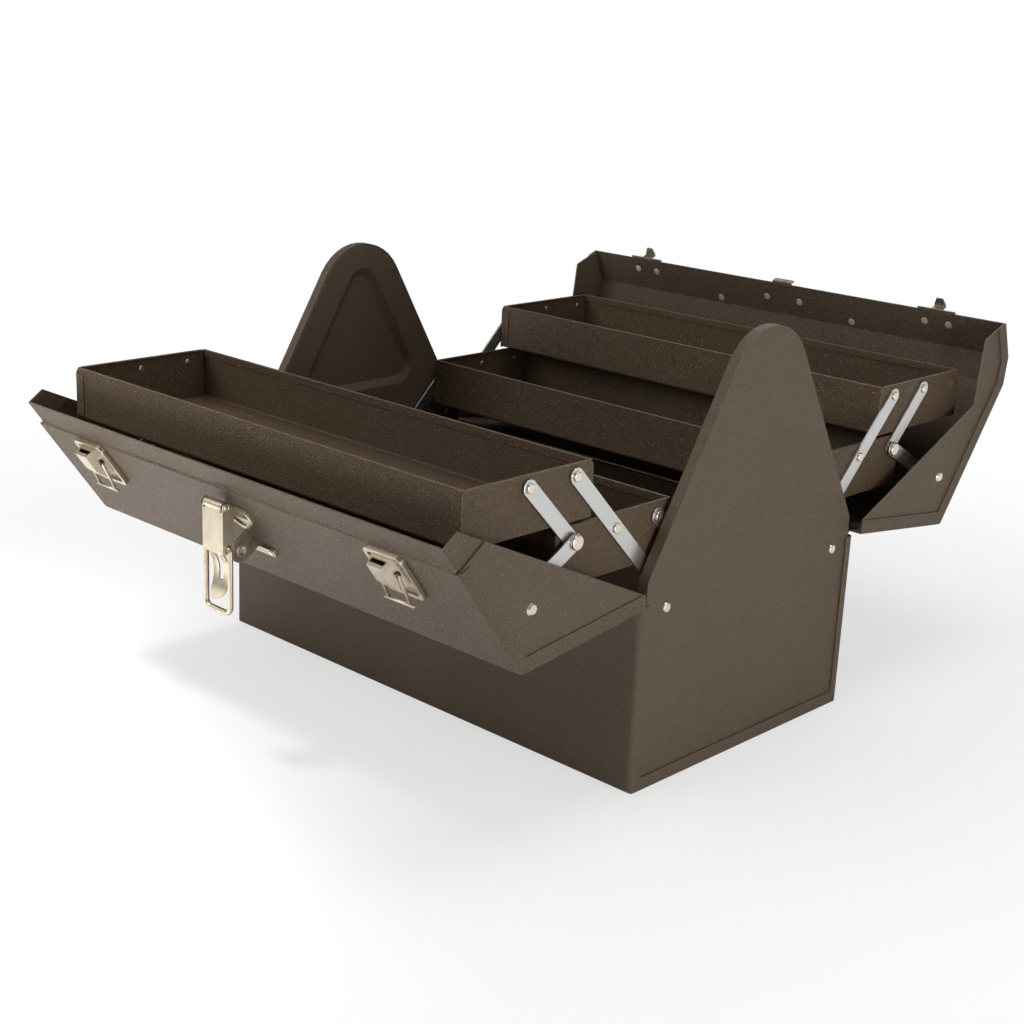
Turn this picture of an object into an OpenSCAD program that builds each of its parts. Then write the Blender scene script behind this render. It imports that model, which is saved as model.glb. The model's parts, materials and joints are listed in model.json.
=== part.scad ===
// Cantilever tool box, shown open: steel case, two hinged lids, four trays on swing links,
// a centre hasp latch, two side catches and a folding carry handle.
// X runs along the box, the latched lid faces -Y, Z is up. Units are millimetres.

/* [Case] */
// Length over the case ends
case_l = 450; // [380:1:560]
// Width over the front and back walls
case_w = 262; // [250:1:290]
// Sheet of the case and its ends
case_t = 1.4; // [1:0.1:1.8]
// Height of the hinge axis above the floor
hinge_z = 143.5; // [120:0.5:165]
// Width of the folded rim round each end
case_rim = 10; // [6:0.5:14]
// Bend radius of the bottom edges
case_bend = 3; // [1.5:0.5:5]
// Radius of the upright corners
case_corner = 4.5; // [2:0.5:8]

/* [End frames] */
// How far an end frame's shoulder stands in from the case's wall
frame_in = 6.6; // [5:0.2:13]
// Height of an end frame's shoulder
shoulder_z = 157.5; // [150:0.5:170]
// Radius of an end frame's rounded top
apex_r = 46.8; // [34:0.2:60]
// Slope of an end frame's sides
frame_slope = 59.45; // [56:0.05:61]
// Thickness of the double end wall
end_wall = 8.6; // [7:0.1:9.4]
// Depth of the sunk triangle in the liner
recess_depth = 3.5; // [1:0.2:4]
// Width of the sunk triangle's sloping border
recess_slope = 7; // [2:0.5:10]
// Height of the sunk triangle's foot
recess_z = 192; // [185:1:215]
// Distance of the sunk triangle from the frame's sides
recess_border = 25.4; // [12:0.2:40]
// Corner radius of the sunk triangle
recess_r = 17; // [6:1:18]

/* [Lids] */
// How far a lid reaches past the case at each end
lid_over = 5.2; // [3:0.1:8]
// Sheet of the lids
lid_t = 1.2; // [0.9:0.1:1.4]
// Height of a lid's wall above the hinge axis
lid_wall = 127.8; // [122:0.2:134]
// Roof slope of the closed lids
roof_slope = 28.8; // [27:0.1:31]
// Width of the flat ridge
ridge_w = 24; // [16:1:30]
// Bend radius between wall and roof
lid_bend = 7; // [3:0.5:10]
// Width of the folded rim round a lid's ends
lid_rim = 11; // [7:0.5:14]
// How far the lids stand open in the photographed pose
lid_open = 97.4; // [95:0.1:99]
// How far the back lid reaches over the front one
overhang = 32.5; // [26:0.5:36]
// Depth of the step that the front lid's lip makes
lip_drop = 1.9; // [1.7:0.1:2.6]
// Length of the lip under the back lid
lip_l = 19.5; // [13:0.5:22]
// Depth of the end cap at the lip
cap_depth = 17; // [12:0.5:20]
// Depth of the back lid's end nose
nose_depth = 31; // [24:0.5:36]
// Height above the hinge axis where a cap's free edge starts
cap_root = 4; // [3:0.5:8]

/* [Hinges] */
// Outside radius of the hinge barrels
barrel_r = 2.4; // [2:0.1:3]
// Radius of the hinge pins
pin_r = 1.2; // [0.9:0.1:1.4]
// Number of barrels along each hinge
barrels = 11; // [5:2:21]
// Height of a hinge leaf
leaf_h = 15; // [10:1:20]
// Sheet of a hinge leaf
leaf_t = 1; // [0.8:0.1:1.2]

/* [Trays] */
// Distance of a tray's end from the case's end
tray_back = 14.5; // [13:0.1:30]
// Sheet of the trays
tray_t = 1; // [0.8:0.1:1.2]
// How much narrower an upper tray is than half the case
upper_less = 9.8; // [8.6:0.2:21]
// Depth of the upper trays
upper_h = 39.6; // [30:0.2:40]
// How much narrower a lower tray is than half the case
lower_less = 10.4; // [9.6:0.2:21]
// Depth of the lower trays
lower_h = 42; // [30:0.2:46]
// Width of the end flange lapped on a tray's wall
tray_flange = 9; // [6:0.5:14]
// Radius of a tray end's top corners
tray_corner = 5; // [2:0.5:8]
// Height of the hem along a tray's top edge
hem_h = 6; // [3:0.5:9]

/* [Links] */
// Pivot to pivot on the upper half of a long link
link_up = 61.3; // [58:0.1:62]
// Pivot to pivot on the lower half of a long link
link_low = 57.5; // [54:0.1:60]
// Slant of the links with the box open, from level
link_open = 134.6; // [132:0.1:137]
// Slant of the links with the box closed, from level
link_shut = 44.1; // [43.6:0.1:47]
// Spacing of neighbouring tray pivots
pitch = 44.5; // [40:0.5:46]
// Distance of the long link's case pivot from the case's wall
pivot_in = 22.9; // [21:0.1:25]
// Height of the case pivots
pivot_z = 158.2; // [154:0.1:162]
// Width of a link
link_w = 12; // [8:0.5:13]
// Thickness of a link
link_t = 1.6; // [1.2:0.1:1.8]
// Radius of a pivot's shank
shank_r = 2.4; // [1.8:0.1:3]
// Radius of a pivot's head
head_r = 3.6; // [3.2:0.1:4.4]
// Height of a lid link's pivot along the closed lid's wall
lid_pivot = 113; // [108:0.5:118]

/* [Latches] */
// Distance of the side catches from the middle
catch_x = 163; // [120:1:180]
// Width of a side catch's plate
catch_w = 36; // [34:0.5:46]
// Length of a side catch's plate
catch_l = 41; // [38:0.5:41.5]
// Height of the plate's raised rim
catch_h = 3.5; // [2.5:0.1:4]
// Width of a side catch's box
box_w = 21; // [16:0.5:22]
// Height of a side catch's box
box_h = 12; // [10.5:0.1:13]
// Length of a side catch's wire
wire_l = 25.5; // [20:0.5:32]
// Radius of a side catch's wire
wire_r = 1.1; // [0.8:0.1:1.3]
// Slant of a side wire in the photographed pose, from the roof plane
wire_rest = 171; // [160:1:175]
// Length of the centre latch's lever
lever_l = 34; // [30:0.5:35]
// Width of the centre latch's lever
lever_w = 22.8; // [20:0.5:28]
// Depth of the lever's channel
lever_d = 9.6; // [6:0.2:10]
// Length of the curved tongue
tongue_l = 34; // [28:0.5:36]
// Width of the curved tongue
tongue_w = 17; // [14:0.5:19]
// Length of the centre bail
bail_l = 47; // [40:0.5:52]
// Radius of the centre bail's wire
bail_r = 2; // [1.2:0.1:2.2]
// Height of the padlock lug
lug_h = 24; // [18:0.5:25]

/* [Handle] */
// Length of the carry handle between its pivots
handle_l = 148; // [120:1:200]
// Reach of the handle from its pivots
handle_reach = 52; // [44:1:60]
// Radius of the handle's rod
rod_r = 3.2; // [2.6:0.1:3.6]
// Radius of the handle's grip
grip_r = 7; // [5:0.5:9]

/* [Hidden] */
$fn = 48;
// Overrun of every cut
over = 1;
// Gap between pieces that pass each other
gap = 0.3;
// Gap between pieces that are fitted together
seat = 0.1;
// Running clearance round a pin
run = 0.06;
// Steps in a drawn bend
bend_n = 5;

// Colours
paint = [0.37, 0.33, 0.29];
nickel = [0.80, 0.76, 0.67];
zinc = [0.74, 0.73, 0.71];

// Plane geometry
function unit(v) = v / norm(v);
function turned(v, a) = [v[0] * cos(a) - v[1] * sin(a), v[0] * sin(a) + v[1] * cos(a)];
function left_of(a, b) = let (d = unit(b - a)) [-d[1], d[0]];
function flipped(p) = [for (i = [len(p) - 1 : -1 : 0]) p[i]];
function mirrored(p) = [for (q = flipped(p)) [-q[0], q[1]]];
// A line of points moved sideways by t, with its corners kept sharp
function shifted(p, t) = [for (i = [0 : len(p) - 1])
    let (n1 = i == 0 ? left_of(p[0], p[1]) : left_of(p[i - 1], p[i]),
        n2 = i == len(p) - 1 ? n1 : left_of(p[i], p[i + 1]),
        m = n1 + n2)
    p[i] + m * (2 * t / (m * m))];
// A bent sheet of thickness t on the right of a line of points
function sheet(p, t) = concat(p, flipped(shifted(p, -t)));
// The arc that rounds corner b between a and c
function rounded(a, b, c, r) =
    let (u = unit(a - b), v = unit(c - b), half = acos(u * v) / 2,
        m = b + unit(u + v) * (r / sin(half)),
        s = b + u * (r / tan(half)) - m, e = b + v * (r / tan(half)) - m,
        a0 = atan2(s[1], s[0]), turn = (atan2(e[1], e[0]) - a0 + 540) % 360 - 180)
    [for (k = [0 : bend_n]) m + r * [cos(a0 + turn * k / bend_n), sin(a0 + turn * k / bend_n)]];
function round_path(p, r) = concat([p[0]],
    [for (i = [1 : len(p) - 2]) each rounded(p[i - 1], p[i], p[i + 1], r)], [p[len(p) - 1]]);
function round_loop(p, r) = [for (i = [0 : len(p) - 1])
    each rounded(p[(i + len(p) - 1) % len(p)], p[i], p[(i + 1) % len(p)], r)];
function box_loop(x0, y0, x1, y1) = [[x0, y0], [x1, y0], [x1, y1], [x0, y1]];
// Where the line from a towards u meets the line from b towards v
function meet(a, u, b, v) =
    let (c = u[0] * v[1] - u[1] * v[0], d = b - a)
    a + u * ((d[0] * v[1] - d[1] * v[0]) / c);

// Placing
module along_x(x0, x1) {
    translate([x0, 0, 0])
        rotate([90, 0, 90])
            linear_extrude(height = x1 - x0)
                children();
}
module rod_x(x0, x1, y, z, r) {
    translate([x0, y, z])
        rotate([0, 90, 0])
            cylinder(h = x1 - x0, r = r);
}
module both_ends() {
    children();
    mirror([1, 0, 0]) children();
}
// Front pieces are drawn as they stand, back ones are their mirror image
module at_side(k) {
    if (k > 0) mirror([0, 1, 0]) children();
    else children();
}
module at_end(k) {
    if (k > 0) children();
    else mirror([1, 0, 0]) children();
}

// Case sizes
half_l = case_l / 2;
half_w = case_w / 2;
frame_half = half_w - frame_in;
upper_w = half_w - upper_less;
lower_w = half_w - lower_less;
pivot_y = half_w - pivot_in;
hinge_y = half_w - case_t / 2;
wall_top = hinge_z - barrel_r - gap;
skin_x = half_l - case_t;
liner_x = skin_x - end_wall;
u_path = round_path([[-half_w, wall_top], [-half_w, 0], [half_w, 0], [half_w, wall_top]], case_bend);
// The front corner is drawn downwards, so the inside of the U lies on its left
inside_u = shifted(u_path, case_t);
rim_u = [[-half_w + case_rim, wall_top + over], [-half_w + case_rim, case_rim],
    [half_w - case_rim, case_rim], [half_w - case_rim, wall_top + over]];

module upright_block(hl, hw, r, z0, z1) {
    translate([0, 0, z0])
        linear_extrude(height = z1 - z0)
            polygon(round_loop(box_loop(-hl, -hw, hl, hw), r));
}

module case_shell() {
    color(paint) difference() {
        intersection() {
            along_x(-half_l, half_l) polygon(u_path);
            upright_block(half_l, half_w, case_corner, -over, wall_top + over);
        }
        intersection() {
            along_x(-half_l, half_l)
                polygon(concat([[inside_u[0][0], wall_top + over]], inside_u,
                    [[inside_u[len(inside_u) - 1][0], wall_top + over]]));
            upright_block(skin_x, half_w - case_t, case_corner - case_t, -over, wall_top + 2 * over);
        }
        along_x(-half_l - over, half_l + over) polygon(rim_u);
    }
}

// End frame outline, stepped in by d from the outer skin
slope_u = [cos(frame_slope), sin(frame_slope)];
slope_n = [-sin(frame_slope), cos(frame_slope)];
shoulder = [-frame_half, shoulder_z];
side_c = shoulder * slope_n;
// Height of the middle of the arc that joins both sides at the top
arc_z = (side_c - apex_r) / slope_n[1];
arc_n = 12;
function frame_path(d, z0) = concat(
    [[-frame_half + d, z0], meet([-frame_half + d, z0], [0, 1], shoulder - slope_n * d, slope_u)],
    [for (k = [0 : arc_n])
        let (a = 90 + frame_slope - 2 * frame_slope * k / arc_n)
        [0, arc_z] + (apex_r - d) * [cos(a), sin(a)]],
    [[frame_half - d, meet([-frame_half + d, z0], [0, 1], shoulder - slope_n * d, slope_u)[1]],
        [frame_half - d, z0]]);
foot_z = case_t + seat;
step_z = wall_top - case_t;
// Below the rim's top the skin ends at the round upright corners, the liner at the hinge leaves
skin_half = half_w - case_corner - seat;
liner_half = half_w - case_t - leaf_t - gap;

module end_skin() {
    color(paint) {
        along_x(skin_x - case_t, skin_x) {
            polygon(frame_path(0, step_z - over));
            polygon(box_loop(-skin_half, foot_z, skin_half, step_z));
        }
        along_x(liner_x, skin_x - case_t)
            polygon(concat(frame_path(0, step_z + seat), flipped(frame_path(case_t, step_z + seat))));
    }
}

// Sunk triangle, parallel to the frame's sides
recess_half = frame_half - (recess_z - shoulder_z) / tan(frame_slope) - recess_border / sin(frame_slope);
recess_apex = [0, recess_z + recess_half * tan(frame_slope)];
recess_loop = [[-recess_half, recess_z], [recess_half, recess_z], recess_apex];
recess_c = recess_z + recess_half * tan(frame_slope / 2);
function recess_at(d) = let (k = 1 + d / (recess_c - recess_z))
    [for (p = recess_loop) [0, recess_c] + (p - [0, recess_c]) * k];

module end_liner() {
    color(paint) difference() {
        union() {
            along_x(liner_x, liner_x + case_t) {
                polygon(frame_path(case_t + gap, step_z - over));
                polygon(box_loop(-liner_half, foot_z, liner_half, step_z));
            }
            hull() {
                along_x(liner_x, liner_x + case_t) polygon(round_loop(recess_at(case_t), recess_r));
                along_x(liner_x, liner_x + recess_depth + case_t)
                    polygon(round_loop(recess_at(case_t - recess_slope), recess_r - recess_slope));
            }
        }
        hull() {
            along_x(liner_x - over, liner_x) polygon(round_loop(recess_at(0), recess_r));
            along_x(liner_x - over, liner_x + recess_depth)
                polygon(round_loop(recess_at(-recess_slope), recess_r - recess_slope));
        }
    }
}

// A rivet head on a wall that faces +X, its foot at x
module head_x(x, y, z, r, h) {
    translate([x, y, z])
        rotate([0, 90, 0])
            cylinder(h = h, r1 = r, r2 = r * dome_share);
}
dome_share = 0.72;
case_head_r = 4;
case_head_h = 1.5;
case_head_in = 28.5;
case_head_y = half_w - case_head_in;
case_head_z = 135;

module case_rivets() {
    color(nickel)
        both_ends()
            for (k = [0, 1])
                at_side(k) head_x(skin_x, -case_head_y, case_head_z, case_head_r, case_head_h);
}

// Link planes, counted outwards from the tray ends
link_off = 0.4;
tray_x = half_l - tray_back;
link_x = tray_x + link_off;
head_x0 = link_x + link_t + gap;
head_h = 1.1;
lid_link_x = head_x0 + head_h + gap;
shoulder_r = 4.6;
pivot_a = [-pivot_y, pivot_z];
function swing(a, l) = l * [cos(a), sin(a)];
mid_b = pivot_a + swing(link_open, link_low);
mid_a = mid_b - [pitch, 0];
mid_c = mid_b + [pitch, 0];
pivot_b = pivot_a + [pitch, 0];
top_b = mid_b + swing(link_open, link_up);
top_a = top_b - [pitch, 0];
mid_a_shut = pivot_a + swing(link_shut, link_low) - [pitch, 0];

// The lid link is as long with the box open as with it closed, which sets its pivot on the lid
hinge_c = [-hinge_y, hinge_z];
arm_open = mid_a - hinge_c;
arm_shut = mid_a_shut - hinge_c;
arm_d = arm_shut - turned(arm_open, -lid_open);
lid_pin_y = ((arm_shut * arm_shut - arm_open * arm_open) / 2 - lid_pivot * arm_d[1]) / arm_d[0];
lid_pin = [lid_pin_y, lid_pivot];
lid_pin_open = hinge_c + turned(lid_pin, lid_open);

module case_pivots() {
    color(nickel)
        both_ends()
            for (k = [0, 1])
                at_side(k)
                    for (p = [pivot_a, pivot_b]) {
                        rod_x(tray_x - head_h, link_x - gap, p[0], p[1], head_r);
                        rod_x(tray_x - head_h, liner_x, p[0], p[1], shank_r);
                        rod_x(link_x + link_t + gap, liner_x, p[0], p[1], shoulder_r);
                    }
}

// Hinges: barrels along an axis, a leaf on one side, bores for the pin
hinge_end = 5;
leaf_l = case_l - 2 * hinge_end;
barrel_p = leaf_l / barrels;
module hinge_half(first, face_y, dir) {
    difference() {
        union() {
            for (i = [first : 2 : barrels - 1]) {
                rod_x(-leaf_l / 2 + i * barrel_p + gap / 2, -leaf_l / 2 + (i + 1) * barrel_p - gap / 2,
                    -hinge_y, hinge_z, barrel_r);
                translate([-leaf_l / 2 + i * barrel_p + gap / 2, face_y,
                    dir > 0 ? hinge_z : hinge_z - leaf_h])
                    cube([barrel_p - gap, leaf_t, leaf_h]);
            }
            translate([-leaf_l / 2 + gap, face_y,
                dir > 0 ? hinge_z + barrel_r + 2 * gap : hinge_z - leaf_h])
                cube([leaf_l - 2 * gap, leaf_t, leaf_h - barrel_r - 2 * gap]);
        }
        rod_x(-leaf_l / 2 - over, leaf_l / 2 + over, -hinge_y, hinge_z, pin_r + run);
    }
}
module case_leaf() {
    color(zinc) hinge_half(0, -half_w + case_t, -1);
}
module hinge_pins() {
    color(zinc)
        for (k = [0, 1])
            at_side(k) rod_x(-leaf_l / 2, leaf_l / 2, -hinge_y, hinge_z, pin_r);
}

// Lid sections, drawn closed and swung open about the hinge
lid_half = half_l + lid_over;
lid_y = hinge_y + lid_t / 2;
corner_z = hinge_z + lid_wall;
roof_u = [cos(roof_slope), sin(roof_slope)];
roof_n = [-sin(roof_slope), cos(roof_slope)];
eave = [-lid_y, corner_z];
roof_l = (lid_y - ridge_w / 2) / cos(roof_slope);
lid_foot = [-lid_y, hinge_z + barrel_r + gap];
edge_s = roof_l - overhang;
step_s = edge_s - gap - 2 * lip_drop;
lip_s = step_s + lip_drop;
function on_roof(s, h) = eave + roof_u * s + roof_n * h;
function open_lid(p) = hinge_c + turned(p - hinge_c, lid_open);

module swung(k) {
    at_side(k)
        translate([0, -hinge_y, hinge_z])
            rotate([lid_open, 0, 0])
                translate([0, hinge_y, -hinge_z])
                    children();
}
// Everything on the back lid that is drawn where it lies on the closed front slope
module swung_back() {
    translate([0, hinge_y, hinge_z])
        rotate([-lid_open, 0, 0])
            translate([0, -hinge_y, -hinge_z])
                children();
}
// The front slope as a plane: X, distance up the slope from the eave, height above it
module on_slope() {
    translate([0, eave[0], eave[1]])
        rotate([roof_slope, 0, 0])
            children();
}

module end_strip(path) {
    both_ends()
        along_x(lid_half - lid_t, lid_half) polygon(sheet(path, lid_rim));
}

front_path = round_path([lid_foot, eave, on_roof(step_s, 0)], lid_bend);
front_strip = [lid_foot, eave, on_roof(step_s, 0)];
lip_path = [on_roof(step_s - lip_drop, 0), on_roof(step_s, 0), on_roof(lip_s, -lip_drop),
    on_roof(lip_s + lip_l, -lip_drop)];
lip_half = lid_half - 2 * lid_t - gap - seat;

module front_lid_shell() {
    color(paint) swung(0) {
        along_x(-lid_half, lid_half) polygon(sheet(front_path, lid_t));
        along_x(-lip_half, lip_half) polygon(sheet(lip_path, lid_t));
        intersection() {
            end_strip(front_strip);
            along_x(-lid_half, lid_half) polygon(concat(front_path, [[0, lid_foot[1]]]));
        }
    }
}

// Free edge of an end cap: it runs beside the end frame from the hinge to the lip
cap_foot = [-lid_y + lid_rim, hinge_z + cap_root];
lip_end = on_roof(lip_s + lip_l, -lip_drop);
lip_low = on_roof(lip_s + lip_l, -cap_depth);
free_u = unit(lip_low - cap_foot);
crease_s = step_s;
crease_top = on_roof(crease_s, -lid_t - seat);
// The free edge at s along the roof, drawn back by d
function free_edge(s, d) = meet(on_roof(s, 0), roof_n, cap_foot, free_u) + roof_n * d;
crease_low = free_edge(crease_s, 0);
cap_outer = lid_half - lid_t;
cap_wall = [-lid_y + lid_t + seat, hinge_z + cap_root];

// The cap's edge beside the bend between wall and roof
function inner_edge(path) = shifted(path, -lid_t - seat);
cap_bend = [for (i = [1 : len(front_path) - 2]) inner_edge(front_path)[i]];

module front_cap() {
    color(paint) {
        along_x(cap_outer - lid_t, cap_outer)
            polygon(concat([cap_wall], cap_bend, [crease_top, crease_low, cap_foot]));
        along_x(lip_half - lid_t, cap_outer)
            polygon([on_roof(crease_s - lid_t, -lip_drop - lid_t - 2 * seat),
                on_roof(crease_s - seat, -lip_drop - lid_t - 2 * seat), free_edge(crease_s - seat, gap),
                free_edge(crease_s - lid_t, gap)]);
        along_x(lip_half - lid_t, lip_half)
            polygon([on_roof(crease_s - lid_t + seat, -lip_drop - lid_t - seat),
                on_roof(lip_s + lip_l, -lip_drop - lid_t - seat), lip_low,
                free_edge(crease_s - lid_t + seat, 0)]);
    }
}

ridge_a = on_roof(roof_l, 0);
ridge_b = [-ridge_a[0], ridge_a[1]];
over_u = [roof_u[0], -roof_u[1]];
over_n = [-roof_n[0], roof_n[1]];
nose = ridge_b + over_u * overhang;
nose_low = nose - over_n * nose_depth;
nose_turn = meet(nose_low, [1, 0], cap_foot, free_u);
back_strip = [lid_foot, eave, ridge_a, ridge_b, nose];
back_path = round_path(back_strip, lid_bend / 2);

module back_lid_shell() {
    color(paint) swung(1) {
        along_x(-lid_half, lid_half) polygon(sheet(back_path, lid_t));
        intersection() {
            end_strip(back_strip);
            along_x(-lid_half, lid_half) polygon(concat(back_path, [nose_low, [0, lid_foot[1]]]));
        }
    }
}

module back_cap() {
    inner = inner_edge(back_path);
    color(paint)
        along_x(cap_outer - lid_t, cap_outer)
            polygon(concat([cap_wall], [for (i = [1 : len(inner) - 1]) inner[i]],
                [nose_low, nose_turn, cap_foot]));
}

module lid_leaf() {
    color(zinc) hinge_half(1, -lid_y + lid_t, 1);
}

// Stepped studs that carry the lid links, with a head inside and one outside
stud_r = 4.5;
stud_head_h = 1;
module lid_pivots() {
    p = hinge_c + lid_pin;
    color(nickel)
        both_ends() {
            rod_x(lid_link_x + link_t + gap, cap_outer - lid_t, p[0], p[1], stud_r);
            rod_x(lid_link_x - gap - stud_head_h, cap_outer - lid_t, p[0], p[1], shank_r);
            rod_x(lid_link_x - gap - stud_head_h, lid_link_x - gap, p[0], p[1], head_r);
            head_x(cap_outer, p[0], p[1], stud_r, case_head_h);
        }
}

// Side catches on the front slope: plate, box with a slot, pivoted wire
catch_s = edge_s - gap - 2 * lip_drop - catch_l - seat;
catch_r = 5;
plate_t = 1;
frame_w = 3.2;
// A closed loop of points moved inwards by t
function inset(p, t) = [for (i = [0 : len(p) - 1])
    let (n = len(p), m = left_of(p[(i + n - 1) % n], p[i]) + left_of(p[i], p[(i + 1) % n]))
    p[i] + m * (2 * t / (m * m))];
module raised_plate(loop, h, r) {
    difference() {
        linear_extrude(height = h) polygon(round_loop(loop, r));
        translate([0, 0, plate_t])
            linear_extrude(height = h) polygon(round_loop(inset(loop, frame_w), r - frame_w / 2));
    }
}
module side_catch_plates() {
    color(nickel) swung(0) on_slope() both_ends()
        translate([catch_x, catch_s, 0])
            raised_plate(box_loop(-catch_w / 2, 0, catch_w / 2, catch_l), catch_h, catch_r);
}
box_top = catch_s + catch_l - frame_w - gap;
box_l = 24.5;
box_t = 1.2;
box_low_share = 0.75;
box_flat_share = 0.63;
box_face_w = 13.4;
slot_w = 13;
slot_h = 3.4;
slot_z = 5.9;
wire_back = 11.5;
wire_s = box_top - wire_back;
wire_z = 5.7;
wire_x = box_half(wire_z) + gap + wire_r;
// Half the box's width at height z: its sides lean in towards the face
function box_half(z) = (box_w + (box_face_w - box_w) * (z - plate_t) / (box_h - plate_t)) / 2;
function box_front(d) = [[-box_half(-over) + d, -over], [box_half(-over) - d, -over],
    [box_half(box_h + over) - d, box_h + over], [-box_half(box_h + over) + d, box_h + over]];
module along_s(s0, s1) {
    translate([0, s1, 0])
        rotate([90, 0, 0])
            linear_extrude(height = s1 - s0)
                children();
}
function box_side(d) = [[box_top - d, plate_t], [box_top - d, box_h - d],
    [box_top - box_l * box_flat_share, box_h - d], [box_top - box_l + d, box_h * box_low_share - d],
    [box_top - box_l + d, plate_t]];
module side_catch_boxes() {
    color(nickel) swung(0) on_slope() both_ends()
        translate([catch_x, 0, 0]) difference() {
            intersection() {
                along_x(-box_w, box_w) polygon(box_side(0));
                along_s(box_top - box_l - over, box_top + over) polygon(box_front(0));
            }
            intersection() {
                along_x(-box_w, box_w)
                    polygon(concat([[box_top - box_t, plate_t - over]], box_side(box_t),
                        [[box_top - box_l + box_t, plate_t - over]]));
                along_s(box_top - box_l - over, box_top + over) polygon(box_front(box_t));
            }
            translate([-slot_w / 2, box_top - box_t - over, slot_z])
                cube([slot_w, box_t + 2 * over, slot_h]);
            rod_x(-box_w, box_w, wire_s, wire_z, wire_r + run);
        }
}
bar_half = 13.5;
module side_wire() {
    tip = swing(wire_rest, wire_l);
    color(nickel) swung(0) on_slope() translate([0, wire_s, wire_z]) {
        for (k = [0, 1])
            mirror([k, 0, 0]) {
                rod_x(box_half(wire_z) - box_t - wire_r, wire_x, 0, 0, wire_r);
                translate([wire_x, 0, 0]) sphere(r = wire_r);
                translate([wire_x, 0, 0])
                    rotate([wire_rest - 90, 0, 0])
                        cylinder(h = wire_l, r = wire_r);
            }
        rod_x(-bar_half, bar_half, tip[0], tip[1], wire_r);
    }
}

// Centre latch on the front slope
hasp_w = 32;
hasp_h = 2.5;
hasp_foot_l = 7.5;
hasp_top_l = 21;
hasp_waist = 3.5;
lever_s = catch_s + catch_l - frame_w - gap;
lug_t = 2.4;
lug_w = 17.5;
lug_s = lever_s - lever_l - gap - lug_w;
hasp_top_s = lug_s + lug_w + gap;
hasp_foot_s = lug_s - gap - hasp_foot_l;
hasp_r = 3;
lug_hole_r = 3;
lever_z = 10;
ear_in = 8.6;
ear_t = 1.3;
ear_r = 3.4;
lever_pin_r = 1.5;
side_t = 1.2;
module centre_latch_plate() {
    color(nickel) swung(0) on_slope() {
        translate([0, hasp_top_s, 0])
            raised_plate([[-hasp_waist, 0], [hasp_waist, 0], [hasp_w / 2, hasp_top_l * mid_share],
                [hasp_w / 2, hasp_top_l], [-hasp_w / 2, hasp_top_l], [-hasp_w / 2, hasp_top_l * mid_share]],
                hasp_h, hasp_r);
        translate([0, hasp_foot_s, 0])
            linear_extrude(height = hasp_h)
                polygon(round_loop(box_loop(-hasp_w / 2, 0, hasp_w / 2, hasp_foot_l), hasp_r));
        for (k = [0, 1])
            mirror([k, 0, 0]) difference() {
                along_x(ear_in, ear_in + ear_t) {
                    translate([lever_s, lever_z]) circle(r = ear_r);
                    polygon([[hasp_top_s + hasp_top_l * mid_share, plate_t],
                        [hasp_top_s + hasp_top_l - frame_w - gap, plate_t],
                        [lever_s + ear_r * ear_share, lever_z - ear_r * ear_share],
                        [lever_s - ear_r * ear_share, lever_z + ear_r * ear_share]]);
                }
                rod_x(0, hasp_w, lever_s, lever_z, lever_pin_r + run);
            }
    }
}
ear_share = 0.6;
module padlock_lug() {
    color(paint) swung(0) on_slope()
        along_x(-lug_t / 2, lug_t / 2) difference() {
            union() {
                translate([lug_s, plate_t]) square([lug_w, lug_h - plate_t - lug_w / 2]);
                translate([lug_s + lug_w / 2, lug_h - lug_w / 2]) circle(r = lug_w / 2);
            }
            translate([lug_s + lug_w / 2, lug_h - lug_w / 2]) circle(r = lug_hole_r);
        }
}
// The lever hangs plumb in the open box, and so does its bail
plumb = 270 - lid_open - roof_slope;
eye_up = 4;
eye_u = lever_l - eye_up;
eye_v = -2;
roll_r = 3.4;
roll_out = 0.8;
face_v = roll_r - roll_out;
bulge = 6;
finger_t = 1.2;
finger_gap = 5;
module on_lever() {
    swung(0) on_slope()
        translate([0, lever_s, lever_z])
            rotate([plumb, 0, 0])
                mirror([0, 0, 1])
                    children();
}
bow_r = (pow(tongue_l / 2, 2) + pow(bulge, 2)) / (2 * bulge);
module centre_lever() {
    color(nickel) on_lever() {
        difference() {
            union() {
                along_x(-lever_w / 2, lever_w / 2)
                    translate([ear_r + gap, face_v - side_t]) square([lever_l - ear_r - gap, side_t]);
                along_x(-ear_in + gap, ear_in - gap)
                    translate([0, face_v - side_t]) square([lever_l, side_t]);
                for (k = [0, 1])
                    mirror([k, 0, 0])
                        along_x(lever_w / 2 - side_t, lever_w / 2) {
                            translate([0, face_v - lever_d]) square([lever_l, lever_d]);
                            circle(r = face_v);
                        }
                rod_x(-ear_in + gap, ear_in - gap, 0, 0, roll_r);
                rod_x(-lever_w / 2, lever_w / 2, 0, 0, lever_pin_r);
            }
            rod_x(-lever_w, lever_w, eye_u, eye_v, bail_r + run);
        }
        // Two fingers bow towards the roof and meet again at the tip
        intersection() {
            along_x(-tongue_w / 2, tongue_w / 2)
                difference() {
                    translate([lever_l + tongue_l / 2 - over, bow_r - bulge]) circle(r = bow_r, $fn = 96);
                    translate([lever_l + tongue_l / 2 - over, bow_r - bulge])
                        circle(r = bow_r - finger_t, $fn = 96);
                }
            translate([0, 0, -bow_r])
                linear_extrude(height = bow_r + roll_r)
                    difference() {
                        union() {
                            translate([-tongue_w / 2, lever_l - 2 * over])
                                square([tongue_w, tongue_l - tongue_w / 2 + 2 * over]);
                            translate([0, lever_l + tongue_l - tongue_w / 2])
                                circle(r = tongue_w / 2);
                        }
                        translate([-finger_gap / 2, lever_l + gap])
                            square([finger_gap, tongue_l * slot_share]);
                    }
        }
    }
}
slot_share = 0.62;
bail_x = lever_w / 2 + gap + bail_r;
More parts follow.
